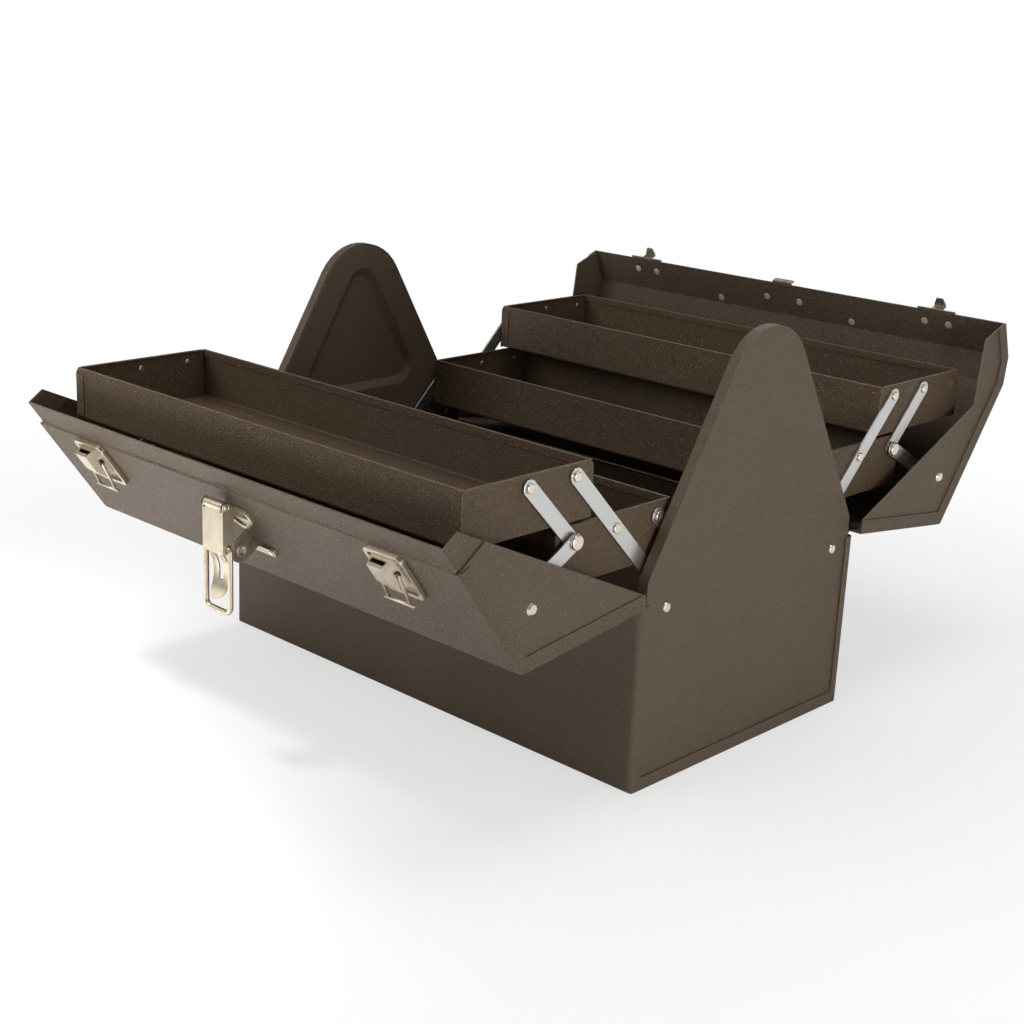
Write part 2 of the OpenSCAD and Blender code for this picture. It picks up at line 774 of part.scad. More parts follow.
module centre_bail() {
    color(nickel) on_lever() translate([0, eye_u, eye_v]) {
        for (k = [0, 1])
            mirror([k, 0, 0]) {
                rod_x(lever_w / 2 - side_t - bail_r / 2, bail_x, 0, 0, bail_r);
                translate([bail_x, 0, 0]) sphere(r = bail_r);
                translate([bail_x, 0, 0]) rotate([-90, 0, 0]) cylinder(h = bail_l, r = bail_r);
                translate([bail_x, bail_l, 0]) sphere(r = bail_r);
            }
        rod_x(-bail_x, bail_x, bail_l, 0, bail_r);
    }
}

// Small rivets that hold the plates to the front slope
plate_head_r = 2.4;
plate_head_h = 0.9;
plate_foot_r = 1.6;
module head_z(x, s, z, r, h) {
    translate([x, s, z]) cylinder(h = h, r1 = r, r2 = r * dome_share);
}
module front_lid_rivets() {
    color(nickel) swung(0) on_slope() {
        both_ends()
            for (s = [catch_s + frame_w + plate_foot_r + over, box_top - plate_foot_r])
                head_z(catch_x + box_w / 2 + gap + plate_foot_r, s, plate_t, plate_foot_r, plate_head_h);
        both_ends()
            head_z(hasp_w / 2 - hasp_r - over, hasp_foot_s + hasp_foot_l * mid_share, hasp_h, plate_head_r,
                plate_head_h);
    }
}

// Strikes on the back lid's overhang, drawn where they lie on the closed slope
strike_w = 37;
strike_gap = -1.5;
strike_l = 17;
strike_t = 1.4;
tongue_z = slot_z + (slot_h - strike_t) / 2;
hook_w = 11;
hook_tip_w = 6;
hook_reach = 8.6;
module side_strikes() {
    color(nickel) swung_back() on_slope() both_ends() translate([catch_x, edge_s, 0]) {
        translate([-strike_w / 2, strike_gap, 0]) cube([strike_w, strike_l, strike_t]);
        translate([-hook_w / 2, strike_gap, 0]) cube([hook_w, strike_t, tongue_z + strike_t]);
        translate([0, 0, tongue_z])
            linear_extrude(height = strike_t)
                polygon([[-hook_w / 2, strike_gap + strike_t], [-hook_w / 2, strike_gap - strike_t],
                    [-hook_tip_w / 2, -hook_reach], [hook_tip_w / 2, -hook_reach],
                    [hook_w / 2, strike_gap - strike_t], [hook_w / 2, strike_gap + strike_t]]);
    }
}
keeper_w = 46;
keeper_l = 23;
lip_w = 21;
lip_h = 6;
module centre_strike() {
    color(nickel) swung_back() on_slope() translate([0, edge_s + strike_gap, 0]) {
        linear_extrude(height = strike_t)
            polygon(round_loop(box_loop(-keeper_w / 2, 0, keeper_w / 2, keeper_l), keeper_r));
        translate([-lip_w / 2, gap, 0]) cube([lip_w, strike_t, lip_h]);
    }
}
keeper_r = 4;
side_rivet_s = 11.3;
keeper_rivet_s = 16;
keeper_rivet_x = 18.2;
tail_r = 2;
tail_h = lip_drop - lid_t - gap;
// A rivet through the overhang: head on a plate at height z, tail under the sheet
module through_z(x, s, z) {
    head_z(x, s, z, plate_head_r, plate_head_h);
    translate([x, s, -lid_t]) mirror([0, 0, 1]) cylinder(h = tail_h, r1 = tail_r, r2 = tail_r * dome_share);
}
module back_lid_rivets() {
    color(nickel) swung_back() on_slope() {
        both_ends()
            for (k = [-1, 1])
                through_z(catch_x + k * strike_w * rivet_share, edge_s + side_rivet_s, strike_t);
        both_ends() through_z(keeper_rivet_x, edge_s + keeper_rivet_s, strike_t);
    }
    color(nickel) swung(1) both_ends()
        translate([handle_l / 2, tab_p[0], tab_p[1]])
            rotate([-roof_slope, 0, 0])
                through_z(0, 0, tab_t);
}
rivet_share = 0.32;
mid_share = 0.5;

// Carry handle on the ridge, hanging behind the open back lid
bracket_w = 14;
bracket_t = 1.6;
bracket_r = rod_r + run + bracket_t;
axis_y = ridge_w / 2 - bracket_r - over / 2;
axis_z = ridge_a[1] + bracket_r + gap;
tab_t = 1.5;
tab_l = 10;
tab_p = ridge_b + over_u * (tab_l * mid_share + over);
module handle_brackets() {
    color(nickel) swung(1) both_ends()
        translate([handle_l / 2 - bracket_w / 2, 0, 0]) {
            difference() {
                along_x(0, bracket_w) {
                    translate([axis_y, axis_z]) circle(r = bracket_r);
                    translate([axis_y - bracket_r, ridge_a[1]]) square([2 * bracket_r, axis_z - ridge_a[1]]);
                }
                rod_x(-over, bracket_w + over, axis_y, axis_z, rod_r + run);
            }
            along_x(0, bracket_w)
                polygon([[axis_y, ridge_a[1]], ridge_b, ridge_b + over_u * tab_l,
                    ridge_b + over_u * tab_l + over_n * tab_t,
                    ridge_b + over_u * tab_t / 2 + over_n * tab_t,
                    [axis_y, ridge_a[1] + tab_t]]);
        }
}
handle_hang = 270 - lid_open;
module carry_handle() {
    leg_x = handle_l / 2 + bracket_w / 2 + gap + rod_r;
    swung(1) translate([0, axis_y, axis_z]) rotate([handle_hang, 0, 0]) color(nickel) {
        for (k = [0, 1])
            mirror([k, 0, 0]) {
                rod_x(handle_l / 2 - bracket_w / 2 - gap, leg_x, 0, 0, rod_r);
                translate([leg_x, 0, 0]) sphere(r = rod_r);
                translate([leg_x, 0, 0]) rotate([-90, 0, 0]) cylinder(h = handle_reach, r = rod_r);
                translate([leg_x, handle_reach, 0]) sphere(r = rod_r);
            }
        rod_x(-leg_x, leg_x, handle_reach, 0, rod_r);
        rod_x(-handle_l * grip_share, handle_l * grip_share, handle_reach, 0, grip_r);
    }
}
grip_share = 0.36;

// Trays: c is the middle of the tray's top edge, w and h its size
function upper_c() = [top_b[0] + upper_in - upper_w / 2, top_b[1] + upper_up];
function lower_c() = [mid_b[0] + lower_in - lower_w / 2, mid_b[1] + lower_up];
upper_in = 18;
upper_up = 8.6;
lower_in = 61.5;
lower_up = 10.4;
tray_bend = 2.5;

module trough(c, w, h) {
    path = round_path([[c[0] + w / 2 - tray_t, c[1]], [c[0] + w / 2 - tray_t, c[1] - h],
        [c[0] - w / 2 + tray_t, c[1] - h], [c[0] - w / 2 + tray_t, c[1]]], tray_bend);
    color(paint) {
        along_x(-tray_x + tray_t, tray_x - tray_t) polygon(sheet(path, tray_t));
        for (k = [-1, 1])
            along_x(-tray_x + tray_t, tray_x - tray_t)
                polygon(box_loop(c[0] + k * (w / 2 - 3 * tray_t), c[1] - hem_h,
                    c[0] + k * (w / 2 - tray_t - tray_t / 2), c[1]));
    }
}
module tray_end(c, w, h) {
    loop = [[c[0] - w / 2, c[1] - h], [c[0] + w / 2, c[1] - h], [c[0] + w / 2, c[1]],
        [c[0] - w / 2, c[1]]];
    color(paint) {
        along_x(tray_x - tray_t, tray_x)
            polygon(concat([loop[0], loop[1]], rounded(loop[1], loop[2], loop[3], tray_corner),
                rounded(loop[2], loop[3], loop[0], tray_corner)));
        along_x(tray_x - tray_lip, tray_x)
            translate([c[0] - w / 2 + tray_corner, c[1] - tray_t]) square([w - 2 * tray_corner, tray_t]);
        for (s = [c[0] - w / 2, c[0] + w / 2 - tray_t])
            along_x(tray_x - tray_flange, tray_x)
                translate([s, c[1] - h + tray_bend]) square([tray_t, h - tray_bend - tray_corner]);
    }
}
tray_lip = 2.4;
inner_head_h = 0.7;
module tray_pin(p) {
    rod_x(tray_x, head_x0, p[0], p[1], shank_r);
    rod_x(head_x0, head_x0 + head_h, p[0], p[1], head_r);
    mirror([1, 0, 0]) head_x(tray_t - tray_x, p[0], p[1], plate_head_r, inner_head_h);
}
module tray_rivets(pins) {
    color(nickel)
        both_ends()
            for (p = pins) tray_pin(p);
}

// Links: flat bars with round ends between two points of the end plane
bar_share = 0.98;
module link_flat(p, q) {
    d = q - p;
    translate(p) circle(r = link_w / 2);
    translate(q) circle(r = link_w / 2);
    translate(p)
        rotate(atan2(d[1], d[0]))
            translate([0, -link_w * bar_share / 2])
                square([norm(d), link_w * bar_share]);
}
module link_pair(x, ends, pins) {
    color(zinc)
        both_ends()
            difference() {
                along_x(x, x + link_t) link_flat(ends[0], ends[1]);
                for (p = pins) rod_x(x - over, x + link_t + over, p[0], p[1], shank_r + run);
            }
}
bolt_r = 5.5;
bolt_h = 2;
module lid_links() {
    link_pair(lid_link_x, [mid_a, lid_pin_open], [lid_pin_open]);
    color(nickel)
        both_ends() head_x(lid_link_x + link_t + seat, mid_a[0], mid_a[1], bolt_r, bolt_h);
}

case_shell();
at_end(0) end_skin();  // end_skin_left
at_end(1) end_skin();  // end_skin_right
at_end(0) end_liner();  // end_liner_left
at_end(1) end_liner();  // end_liner_right
case_rivets();
case_pivots();
at_side(0) case_leaf();  // front_case_leaf
at_side(1) case_leaf();  // back_case_leaf
hinge_pins();
front_lid_shell();
at_end(0) swung(0) front_cap();  // front_cap_left
at_end(1) swung(0) front_cap();  // front_cap_right
swung(0) lid_leaf();  // front_lid_leaf
swung(0) lid_pivots();  // front_lid_pivots
side_catch_plates();
side_catch_boxes();
centre_latch_plate();
padlock_lug();
front_lid_rivets();
translate([-catch_x, 0, 0]) side_wire();  // side_wire_left
translate([catch_x, 0, 0]) side_wire();  // side_wire_right
centre_lever();
centre_bail();
back_lid_shell();
at_end(0) swung(1) back_cap();  // back_cap_left
at_end(1) swung(1) back_cap();  // back_cap_right
swung(1) lid_leaf();  // back_lid_leaf
swung(1) lid_pivots();  // back_lid_pivots
side_strikes();
centre_strike();
back_lid_rivets();
handle_brackets();
carry_handle();
trough(upper_c(), upper_w, upper_h);  // upper_front_trough
at_end(0) tray_end(upper_c(), upper_w, upper_h);  // upper_front_end_left
at_end(1) tray_end(upper_c(), upper_w, upper_h);  // upper_front_end_right
tray_rivets([top_a, top_b]);  // upper_front_rivets
trough(lower_c(), lower_w, lower_h);  // lower_front_trough
at_end(0) tray_end(lower_c(), lower_w, lower_h);  // lower_front_end_left
at_end(1) tray_end(lower_c(), lower_w, lower_h);  // lower_front_end_right
tray_rivets([mid_a, mid_b, mid_c]);  // lower_front_rivets
at_side(1) trough(upper_c(), upper_w, upper_h);  // upper_back_trough
at_side(1) at_end(0) tray_end(upper_c(), upper_w, upper_h);  // upper_back_end_left
at_side(1) at_end(1) tray_end(upper_c(), upper_w, upper_h);  // upper_back_end_right
at_side(1) tray_rivets([top_a, top_b]);  // upper_back_rivets
at_side(1) trough(lower_c(), lower_w, lower_h);  // lower_back_trough
at_side(1) at_end(0) tray_end(lower_c(), lower_w, lower_h);  // lower_back_end_left
at_side(1) at_end(1) tray_end(lower_c(), lower_w, lower_h);  // lower_back_end_right
at_side(1) tray_rivets([mid_a, mid_b, mid_c]);  // lower_back_rivets
link_pair(link_x, [pivot_a, top_b], [pivot_a, mid_b, top_b]);  // long_links_front
link_pair(link_x, [mid_a, top_a], [mid_a, top_a]);  // short_links_front
link_pair(link_x, [pivot_b, mid_c], [pivot_b, mid_c]);  // inner_links_front
lid_links();  // lid_links_front
at_side(1) link_pair(link_x, [pivot_a, top_b], [pivot_a, mid_b, top_b]);  // long_links_back
at_side(1) link_pair(link_x, [mid_a, top_a], [mid_a, top_a]);  // short_links_back
at_side(1) link_pair(link_x, [pivot_b, mid_c], [pivot_b, mid_c]);  // inner_links_back
at_side(1) lid_links();  // lid_links_back
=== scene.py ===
"""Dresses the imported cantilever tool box: wrinkle paint, plated fittings, rivets, wires and a studio stage."""

import json
import math

import bmesh
import bpy
from bpy.props import FloatProperty, FloatVectorProperty, IntProperty, PointerProperty
from mathutils import Matrix, Vector


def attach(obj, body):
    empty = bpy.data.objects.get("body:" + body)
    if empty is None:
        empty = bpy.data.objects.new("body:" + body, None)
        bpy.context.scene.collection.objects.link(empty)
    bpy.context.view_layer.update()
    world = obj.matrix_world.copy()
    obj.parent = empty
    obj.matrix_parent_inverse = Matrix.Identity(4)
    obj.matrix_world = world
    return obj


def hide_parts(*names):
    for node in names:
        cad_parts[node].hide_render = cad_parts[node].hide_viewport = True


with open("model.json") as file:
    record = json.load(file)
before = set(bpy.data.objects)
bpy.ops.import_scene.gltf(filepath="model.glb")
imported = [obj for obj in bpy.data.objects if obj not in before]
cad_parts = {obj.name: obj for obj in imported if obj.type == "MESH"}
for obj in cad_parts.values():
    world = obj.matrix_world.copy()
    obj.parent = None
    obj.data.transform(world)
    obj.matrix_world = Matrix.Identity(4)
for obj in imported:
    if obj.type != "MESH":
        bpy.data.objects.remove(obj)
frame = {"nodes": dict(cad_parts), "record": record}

bl_info = {
    "name": "Cantilever Tool Box",
    "version": (1, 0, 0),
    "blender": (4, 5, 0),
    "location": "View3D > Sidebar > Tool Box",
    "description": "Finishes and fittings for a cantilever tool box on its packed frame",
    "category": "Object",
}

BODY_OF = {node: body for body, nodes in frame["record"]["behaviour"]["bodies"].items() for node in nodes}
JOINT = {joint["name"]: joint for joint in frame["record"]["behaviour"]["joints"]}


# Sizes and colours that a user would change
class PaintSettings(bpy.types.PropertyGroup):
    """The wrinkle powder coat of the case, lids and trays"""

    shade: FloatVectorProperty(name="Shade", description="Paint colour", subtype="COLOR", size=3,
                               min=0, max=1, default=(0.081, 0.0565, 0.0345))
    # Darker and browner than the outer paint: partly the trays' own tone, partly painted shade for the inside of the
    # trays
    tray_tone_and_painted_shade: FloatVectorProperty(name="Tray tone and painted shade", description="Paint colour inside the trays",
                                     subtype="COLOR", size=3, min=0, max=1, default=(0.066, 0.042, 0.0225))
    # Lighter flecks in the paint: partly real flakes, partly painted glints
    glinting_fleck: FloatVectorProperty(name="Fleck", description="Colour of the mineral flecks", subtype="COLOR",
                               size=3, min=0, max=1, default=(0.36, 0.29, 0.205))
    grain: FloatProperty(name="Grain", description="Spacing of the wrinkles", subtype="DISTANCE",
                         min=0.0003, max=0.004, default=0.0012)
    relief: FloatProperty(name="Relief", description="Depth of the wrinkles", subtype="DISTANCE",
                          min=0, max=0.001, default=0.00038)
    edge: FloatProperty(name="Edge", description="Rounding of the sheet edges", subtype="DISTANCE",
                        min=0.0001, max=0.0006, default=0.00038)
    # Edges and folds painted lighter: partly wear, partly painted highlight where they catch the light
    worn_highlit: FloatProperty(name="Worn and highlit edges", description="How much lighter the rounded edges are", min=1, max=3,
                        default=1.9)


class PlateSettings(bpy.types.PropertyGroup):
    """The nickel of the latches and rivets and the zinc of the links"""

    nickel: FloatVectorProperty(name="Nickel", description="Colour of the nickel", subtype="COLOR", size=3,
                                min=0, max=1, default=(0.57, 0.50, 0.385))
    zinc: FloatVectorProperty(name="Zinc", description="Colour of the zinc", subtype="COLOR", size=3,
                              min=0, max=1, default=(0.60, 0.60, 0.585))
    edge: FloatProperty(name="Edge", description="Rounding of the stamped edges", subtype="DISTANCE",
                        min=0.0001, max=0.0006, default=0.00035)
    ring: IntProperty(name="Ring", description="Steps round a rivet or wire", min=12, max=64, default=32)


class StageSettings(bpy.types.PropertyGroup):
    """Camera, floor and lamps"""

    camera_place: FloatVectorProperty(name="Camera place", description="Where the camera stands",
                                      subtype="TRANSLATION", size=3, default=(0.914204, -1.003421, 0.546219))
    camera_turn: FloatVectorProperty(name="Camera turn", description="How the camera is turned",
                                     subtype="EULER", size=3, default=(1.2725522, -0.0433965, 0.7646617))
    lens: FloatProperty(name="Lens", description="Focal length in millimetres on a 36 mm picture",
                        min=20, max=120, default=60.519)
    floor_half: FloatProperty(name="Floor", description="Half the floor's width", subtype="DISTANCE",
                              min=1, max=40, default=14)


# Places on the object: joints of the frame, and points read off its solids
HINGE = JOINT["front_lid_hinge"]["pos_m"]
LID_OPEN = math.radians(JOINT["front_lid_hinge"]["range_deg"][1])
ROOF_SLOPE = math.radians(28.8)
EAVE = (-0.1309, 0.2713)  # Y and Z of the closed lid's eave
TRAY_END = 0.2105  # X of the trays' outer end faces
TRAY_SHEET = 0.001
BLIND_RIVET = (-0.2815, 0.2412)  # Y and Z on the front upper tray
LUG_HOLE = (0.0, -0.3002317, 0.1597496)

# The centre lever hangs plumb: X along the box, Y down the lever, Z out of its face
LEVER = Matrix.Translation(JOINT["centre_lever_swing"]["pos_m"]) @ Matrix(((1, 0, 0, 0), (0, 0, -1, 0),
                                                                           (0, -1, 0, 0), (0, 0, 0, 1)))
LEVER_HALF = 0.0114  # half its width
BAIL_EYE = (0.030, -0.002)  # Y and Z of the eyes that hold the bail

# Angles between two faces of a sheet: below FLAT they become one, from CREASE on their edge stays crisp, and
# from SHARP on it is rounded
FLAT = math.radians(0.8)
CREASE = math.radians(13)
SHARP = math.radians(32)
WELD = 1e-6  # points closer than this are one

# Side wires: radius of the wire, of its bends, and of the cross bar
WIRE = 0.0011
WIRE_BEND = 0.0018
WIRE_BAR = WIRE * 1.08
WIRE_TIP = 0.0066  # from the middle to a turned-in tip
WIRE_HALF = 0.010276  # from the middle to a leg
WIRE_LONG = 0.0255  # length of a leg
WIRE_BAR_HALF = 0.0135
WIRE_REST = math.radians(171)  # turn from the lid's slope at rest

# Bail of the centre latch: radius of the wire and of its bends
BAIL_WIRE = 0.002
BAIL_BEND = 0.0052
BAIL_TIP = 0.0092  # from the middle to a turned-in tip
BAIL_GAP = 0.0023  # from the lever's side to the middle of a leg
BAIL_LONG = 0.047  # from the eyes to the far end

# Carry handle: radius of the rod and of its bends
ROD = 0.0032
ROD_BEND = 0.009
HANDLE_TIP = 0.0667  # from the middle to a turned-in tip
HANDLE_HALF = 0.0845  # from the middle to a leg
HANDLE_REACH = 0.052  # from the pivots to the grip

# Keeper of the centre latch: sheet, half the lip's width, and how far the plate is set back from the lip
KEEPER_SHEET = 0.0014
KEEPER_LIP = 0.0105
KEEPER_BACK = 0.0021

# Rivets and pivots: heights and radii
PIN_HEAD = 0.0011  # height of a tray pivot's head
SHANK = 0.0024
SHANK_STEPS = 20
SHANK_START = 0.00001  # from a tray pivot's inner face to its shank
PIVOT_LENGTH = 0.002  # tray pivots are longer than this, plain rivets shorter
LINK_WIDTH = 0.02  # lid links span more than this, their bolts less
BLIND_RING = 0.0042
BLIND_TAIL = (0.0024, 0.0007)  # radius and height
TAIL_LIMIT = 0.0021  # solids of the back lid's rivets that are narrower than this are tails
BROAD_TAIL = 0.0033
PIN_WELL = 0.0034  # painted shade: dark rings round the lever's pin, round its eyes, and where the side wires enter their boxes
EYE_WELL = 0.0030
WIRE_WELL = (0.0021, 0.00205)  # radius at the foot and at the top

# Turned profiles as (radius, height)
PEENED_PIN = ((0.0030, -0.0001), (0.0029, 0.00025), (0.0024, 0.0004), (0.0021, 0.00005), (0.0019, 0.0001),
              (0.00185, 0.0005), (0.0013, 0.00085), (0, 0.00095))
EYELET = ((0.0031, 0), (0.0031, 0.0013), (0.0034, 0.00155), (0.0040, 0.0015), (0.0043, 0.0011))
GRIP = ((0.0033, -0.0533), (0.0060, -0.0533), (0.0069, -0.0524), (0.0070, -0.0510), (0.0066, -0.0495),
        (0.0067, -0.025), (0.0070, 0), (0.0067, 0.025), (0.0066, 0.0495), (0.0070, 0.0510), (0.0069, 0.0524),
        (0.0060, 0.0533), (0.0033, 0.0533))

# Square lamps: name, place, aim, width in metres and power in watts
LAMPS = (("Key", (-0.9, -1.7, 1.4), (0, -0.2, 0.1), 1.2, 22),
         ("Side", (1.35, -0.25, 0.12), (0.2, 0, 0.14), 0.6, 13.5),
         ("Top", (0.2, 0.0, 1.5), (0, 0, 0.2), 0.7, 8),
         ("Back", (-0.6, 1.9, 1.6), (0, 0.5, 0), 1.4, 14))
# A soft round lamp over the floor before the box: place, aim, power, cone and radius
POOL = ((-0.35, -1.0, 1.7), (-0.3, -0.90, 0), 680, math.radians(46), 0.2)
FLOOR_Z = -0.0002
FLOOR_FADE = (0.3, 0.95)  # between these distances from its middle the floor turns to plain white
ROOM_BRIGHT = (-0.25, -0.30, 0.92)  # the side of the room that glows most
ROOM_GLOW = (0.08, 0.30)  # least glow, and how much more there is on the bright side


def closed_slope():
    """Frame of the closed front lid's slope: X along, Y up the slope from the eave, Z out of the paint."""
    return Matrix.Translation((0, *EAVE)) @ Matrix.Rotation(ROOF_SLOPE, 4, "X")


def swung(y, turn):
    """A turn about a line along X at a Y and at the height of the hinges."""
    hinge = Matrix.Translation((0, y, HINGE[2]))
    return hinge @ Matrix.Rotation(turn, 4, "X") @ hinge.inverted()


def front_slope():
    """The frame of closed_slope on the front lid as it stands open."""
    return swung(HINGE[1], LID_OPEN) @ closed_slope()


def swung_back():
    """The turn that opens the closed back lid."""
    return swung(-HINGE[1], -LID_OPEN)


# Meshes
def new_piece(name, mesh, body, coat, nodes=()):
    """A finished object that rides on a body and may stand for CAD nodes."""
    piece = bpy.data.objects.new(name, mesh)
    bpy.context.scene.collection.objects.link(piece)
    mesh.materials.clear()
    mesh.materials.append(coat)
    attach(piece, body)
    if nodes:
        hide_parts(*nodes)
    return piece


def mesh_from(name, build, smooth=True):
    """A mesh filled by a function that is given an empty bmesh."""
    bm = bmesh.new()
    build(bm)
    bmesh.ops.recalc_face_normals(bm, faces=bm.faces)
    for face in bm.faces:
        face.smooth = smooth
    mesh = bpy.data.meshes.new(name)
    bm.to_mesh(mesh)
    bm.free()
    return mesh


def islands(bm):
    """The vertices of each separate solid in a bmesh, always in the same order."""
    left = dict.fromkeys(bm.verts)
    while left:
        queue = [next(iter(left))]
        del left[queue[0]]
        group = list(queue)
        while queue:
            for edge in queue.pop().link_edges:
                for vert in edge.verts:
                    if vert in left:
                        del left[vert]
                        queue.append(vert)
                        group.append(vert)
        yield group


def corners(group, place=Matrix()):
    """Low and high corners of some vertices, seen in a frame."""
    at = [place @ v.co for v in group]
    return (Vector([min(c[i] for c in at) for i in range(3)]), Vector([max(c[i] for c in at) for i in range(3)]))


def loose_parts(node, place=Matrix()):
    """The separate solids of a CAD node, each as (low, high) corners in a frame."""
    bm = bmesh.new()
    bm.from_mesh(frame["nodes"][node].data)
    bmesh.ops.remove_doubles(bm, verts=bm.verts, dist=WELD)
    parts = [corners(group, place.inverted()) for group in islands(bm)]
    bm.free()
    return parts


def rounded(piece, edge):
    """Rounds the sharp edges of a piece."""
    bevel = piece.modifiers.new("Edges", "BEVEL")
    bevel.width = edge
    bevel.segments = 2
    bevel.limit_method = "ANGLE"
    bevel.angle_limit = SHARP
    bevel.use_clamp_overlap = True
    return bevel


def softened(node, coat, edge, longer_than=0.0, worn_highlit=None):
    """Stands for a CAD node with the same solids, their sharp edges rounded as bent or stamped sheet is and,
    where an edge coat is given, made lighter there: partly wear, partly painted highlight along the edges."""
    source = frame["nodes"][node].data

    def copy_solids(bm):
        bm.from_mesh(source)
        bmesh.ops.remove_doubles(bm, verts=bm.verts, dist=WELD * 2)
        small = []
        for group in islands(bm):
            low, high = corners(group)
            if max(high - low) < longer_than:
                small += group
        bmesh.ops.delete(bm, geom=small, context="VERTS")
        bmesh.ops.dissolve_limit(bm, angle_limit=FLAT, verts=bm.verts, edges=bm.edges)
        for seam in bm.edges:
            if len(seam.link_faces) == 2 and CREASE < seam.calc_face_angle() < SHARP:
                seam.smooth = False

    piece = new_piece(node + "_soft", mesh_from(node + "_soft", copy_solids), BODY_OF[node], coat, (node,))
    bevel = rounded(piece, edge)
    # The bevels take the lighter edge coat: wear and painted highlight
    if worn_highlit:
        piece.data.materials.append(worn_highlit)
        bevel.material = 1
    even = piece.modifiers.new("Even faces", "WEIGHTED_NORMAL")
    even.keep_sharp = True


def raised(bm, outline, height):
    """Raises a flat outline of points along Z into a solid."""
    face = bm.faces.new([bm.verts.new(point) for point in outline])
    grown = bmesh.ops.extrude_face_region(bm, geom=[face])["geom"]
    tops = [part for part in grown if isinstance(part, bmesh.types.BMVert)]
    bmesh.ops.translate(bm, vec=(0, 0, height), verts=tops)


def lathe(bm, profile, place, steps):
    """Turns a profile of (radius, height) round Z and puts it at a place."""
    rings = []
    for radius, height in profile:
        if radius < WELD:
            rings.append([bm.verts.new(place @ Vector((0, 0, height)))])
        else:
            rings.append([bm.verts.new(place @ Vector((radius * math.cos(2 * math.pi * k / steps),
                                                       radius * math.sin(2 * math.pi * k / steps), height)))
                          for k in range(steps)])
    for low, high in zip(rings, rings[1:]):
        for k in range(steps):
            corner = [low[k % len(low)], low[(k + 1) % len(low)], high[(k + 1) % len(high)], high[k % len(high)]]
            corner = list(dict.fromkeys(corner))
            if len(corner) > 2:
                bm.faces.new(corner)


def dome(bm, place, radius, height, steps, flat=0.45, rolled=0.0):
    """A rivet head: foot, round shoulder, and a crown that is flat over a share of the radius or sunk a little."""
    crown = flat * 1.2
    lathe(bm, [(0, -height * 0.2), (radius * 0.97, -height * 0.2), (radius, height * 0.12),
               (radius * 0.985, height * 0.38), (radius * 0.9, height * 0.68),
               (radius * max(0.76, crown + 0.02), height * 0.9),
               (radius * crown, height), (radius * flat, height * (1 - rolled * 0.5)),
               (radius * flat * 0.6, height * (1 - rolled)), (0, height * (1 - rolled))], place, steps)


def flat_head(bm, place, radius, height, steps):
    """A pressed pivot head: upright rim, small chamfer and a crown that is very slightly hollow."""
    lathe(bm, [(0, -height * 0.1), (radius * 0.95, -height * 0.1), (radius, height * 0.12), (radius, height * 0.6),
               (radius * 0.95, height * 0.9), (radius * 0.86, height), (radius * 0.6, height * 0.95),
               (0, height * 0.92)], place, steps)


def bent_path(points, radius, steps=6):
    """A line of points with each inner corner rounded."""
    path = [Vector(points[0])]
    for before, corner, after in zip(points, points[1:], points[2:]):
        before, corner, after = Vector(before), Vector(corner), Vector(after)
        u, v = (before - corner).normalized(), (after - corner).normalized()
        half = u.angle(v) / 2
        reach = min(radius / math.tan(half), (before - corner).length * 0.49, (after - corner).length * 0.49)
        centre = corner + (u + v).normalized() * (reach / math.cos(half))
        start, end = corner + u * reach - centre, corner + v * reach - centre
        turn = start.angle(end)
        for k in range(steps + 1):
            t = k / steps
            path.append(centre + (start * math.sin((1 - t) * turn) + end * math.sin(t * turn)) / math.sin(turn))
    path.append(Vector(points[-1]))
    return path


def mirrored_path(side):
    """One side of a bent wire, followed by its mirror image in X."""
    return side + [(-x, y, z) for x, y, z in reversed(side)]


def tube(bm, path, radius, steps, place=Matrix()):
    """Round wire along a path, its ends closed with a small crown."""
    normal = None
    rings = []
    for k, point in enumerate(path):
        ahead = (path[min(k + 1, len(path) - 1)] - path[max(k - 1, 0)]).normalized()
        if normal is None:
            normal = ahead.orthogonal().normalized()
        normal = (normal - ahead * normal.dot(ahead)).normalized()
        side = ahead.cross(normal)
        rings.append([bm.verts.new(place @ (point + radius * (math.cos(2 * math.pi * j / steps) * normal
                                                              + math.sin(2 * math.pi * j / steps) * side)))
                      for j in range(steps)])
    for low, high in zip(rings, rings[1:]):
        for j in range(steps):
            bm.faces.new((low[j], low[(j + 1) % steps], high[(j + 1) % steps], high[j]))
    for ring, tip, ahead in ((rings[0], path[0], path[0] - path[1]), (rings[-1], path[-1], path[-1] - path[-2])):
        crown = bm.verts.new(place @ (tip + ahead.normalized() * radius * 0.35))
        for j in range(steps):
            bm.faces.new((ring[j], ring[(j + 1) % steps], crown))


def facing(direction, at):
    """A place whose Z looks along a direction."""
    return Matrix.Translation(at) @ Vector(direction).to_track_quat("Z", "Y").to_matrix().to_4x4()


def outward(low, high):
    """The end of the box that a solid is at, 1 or -1, and the middle of its inner face."""
    end = 1 if low.x > 0 else -1
    return end, Vector((low.x if end > 0 else high.x, (low.y + high.y) / 2, (low.z + high.z) / 2))


def carried(node, coat):
    """Gives a CAD node whose shape is right its finish."""
    mesh = frame["nodes"][node].data
    mesh.materials.clear()
    mesh.materials.append(coat)


def heads(node, name, coat, steps, rolled=0.0, place=None, flat=0.45):
    """Domed heads for a node of plain ones: outward on the end walls, or along the Z of a place."""
    def build(bm):
        for low, high in loose_parts(node, place or Matrix()):
            if place:
                foot = Vector(((low.x + high.x) / 2, (low.y + high.y) / 2, low.z))
                dome(bm, place @ facing((0, 0, 1), foot), (high.x - low.x) / 2, high.z - low.z, steps, flat, rolled)
            else:
                end, foot = outward(low, high)
                dome(bm, facing((end, 0, 0), foot), (high.y - low.y) / 2, high.x - low.x, steps, flat, rolled)
    new_piece(name, mesh_from(name, build), BODY_OF[node], coat, (node,))


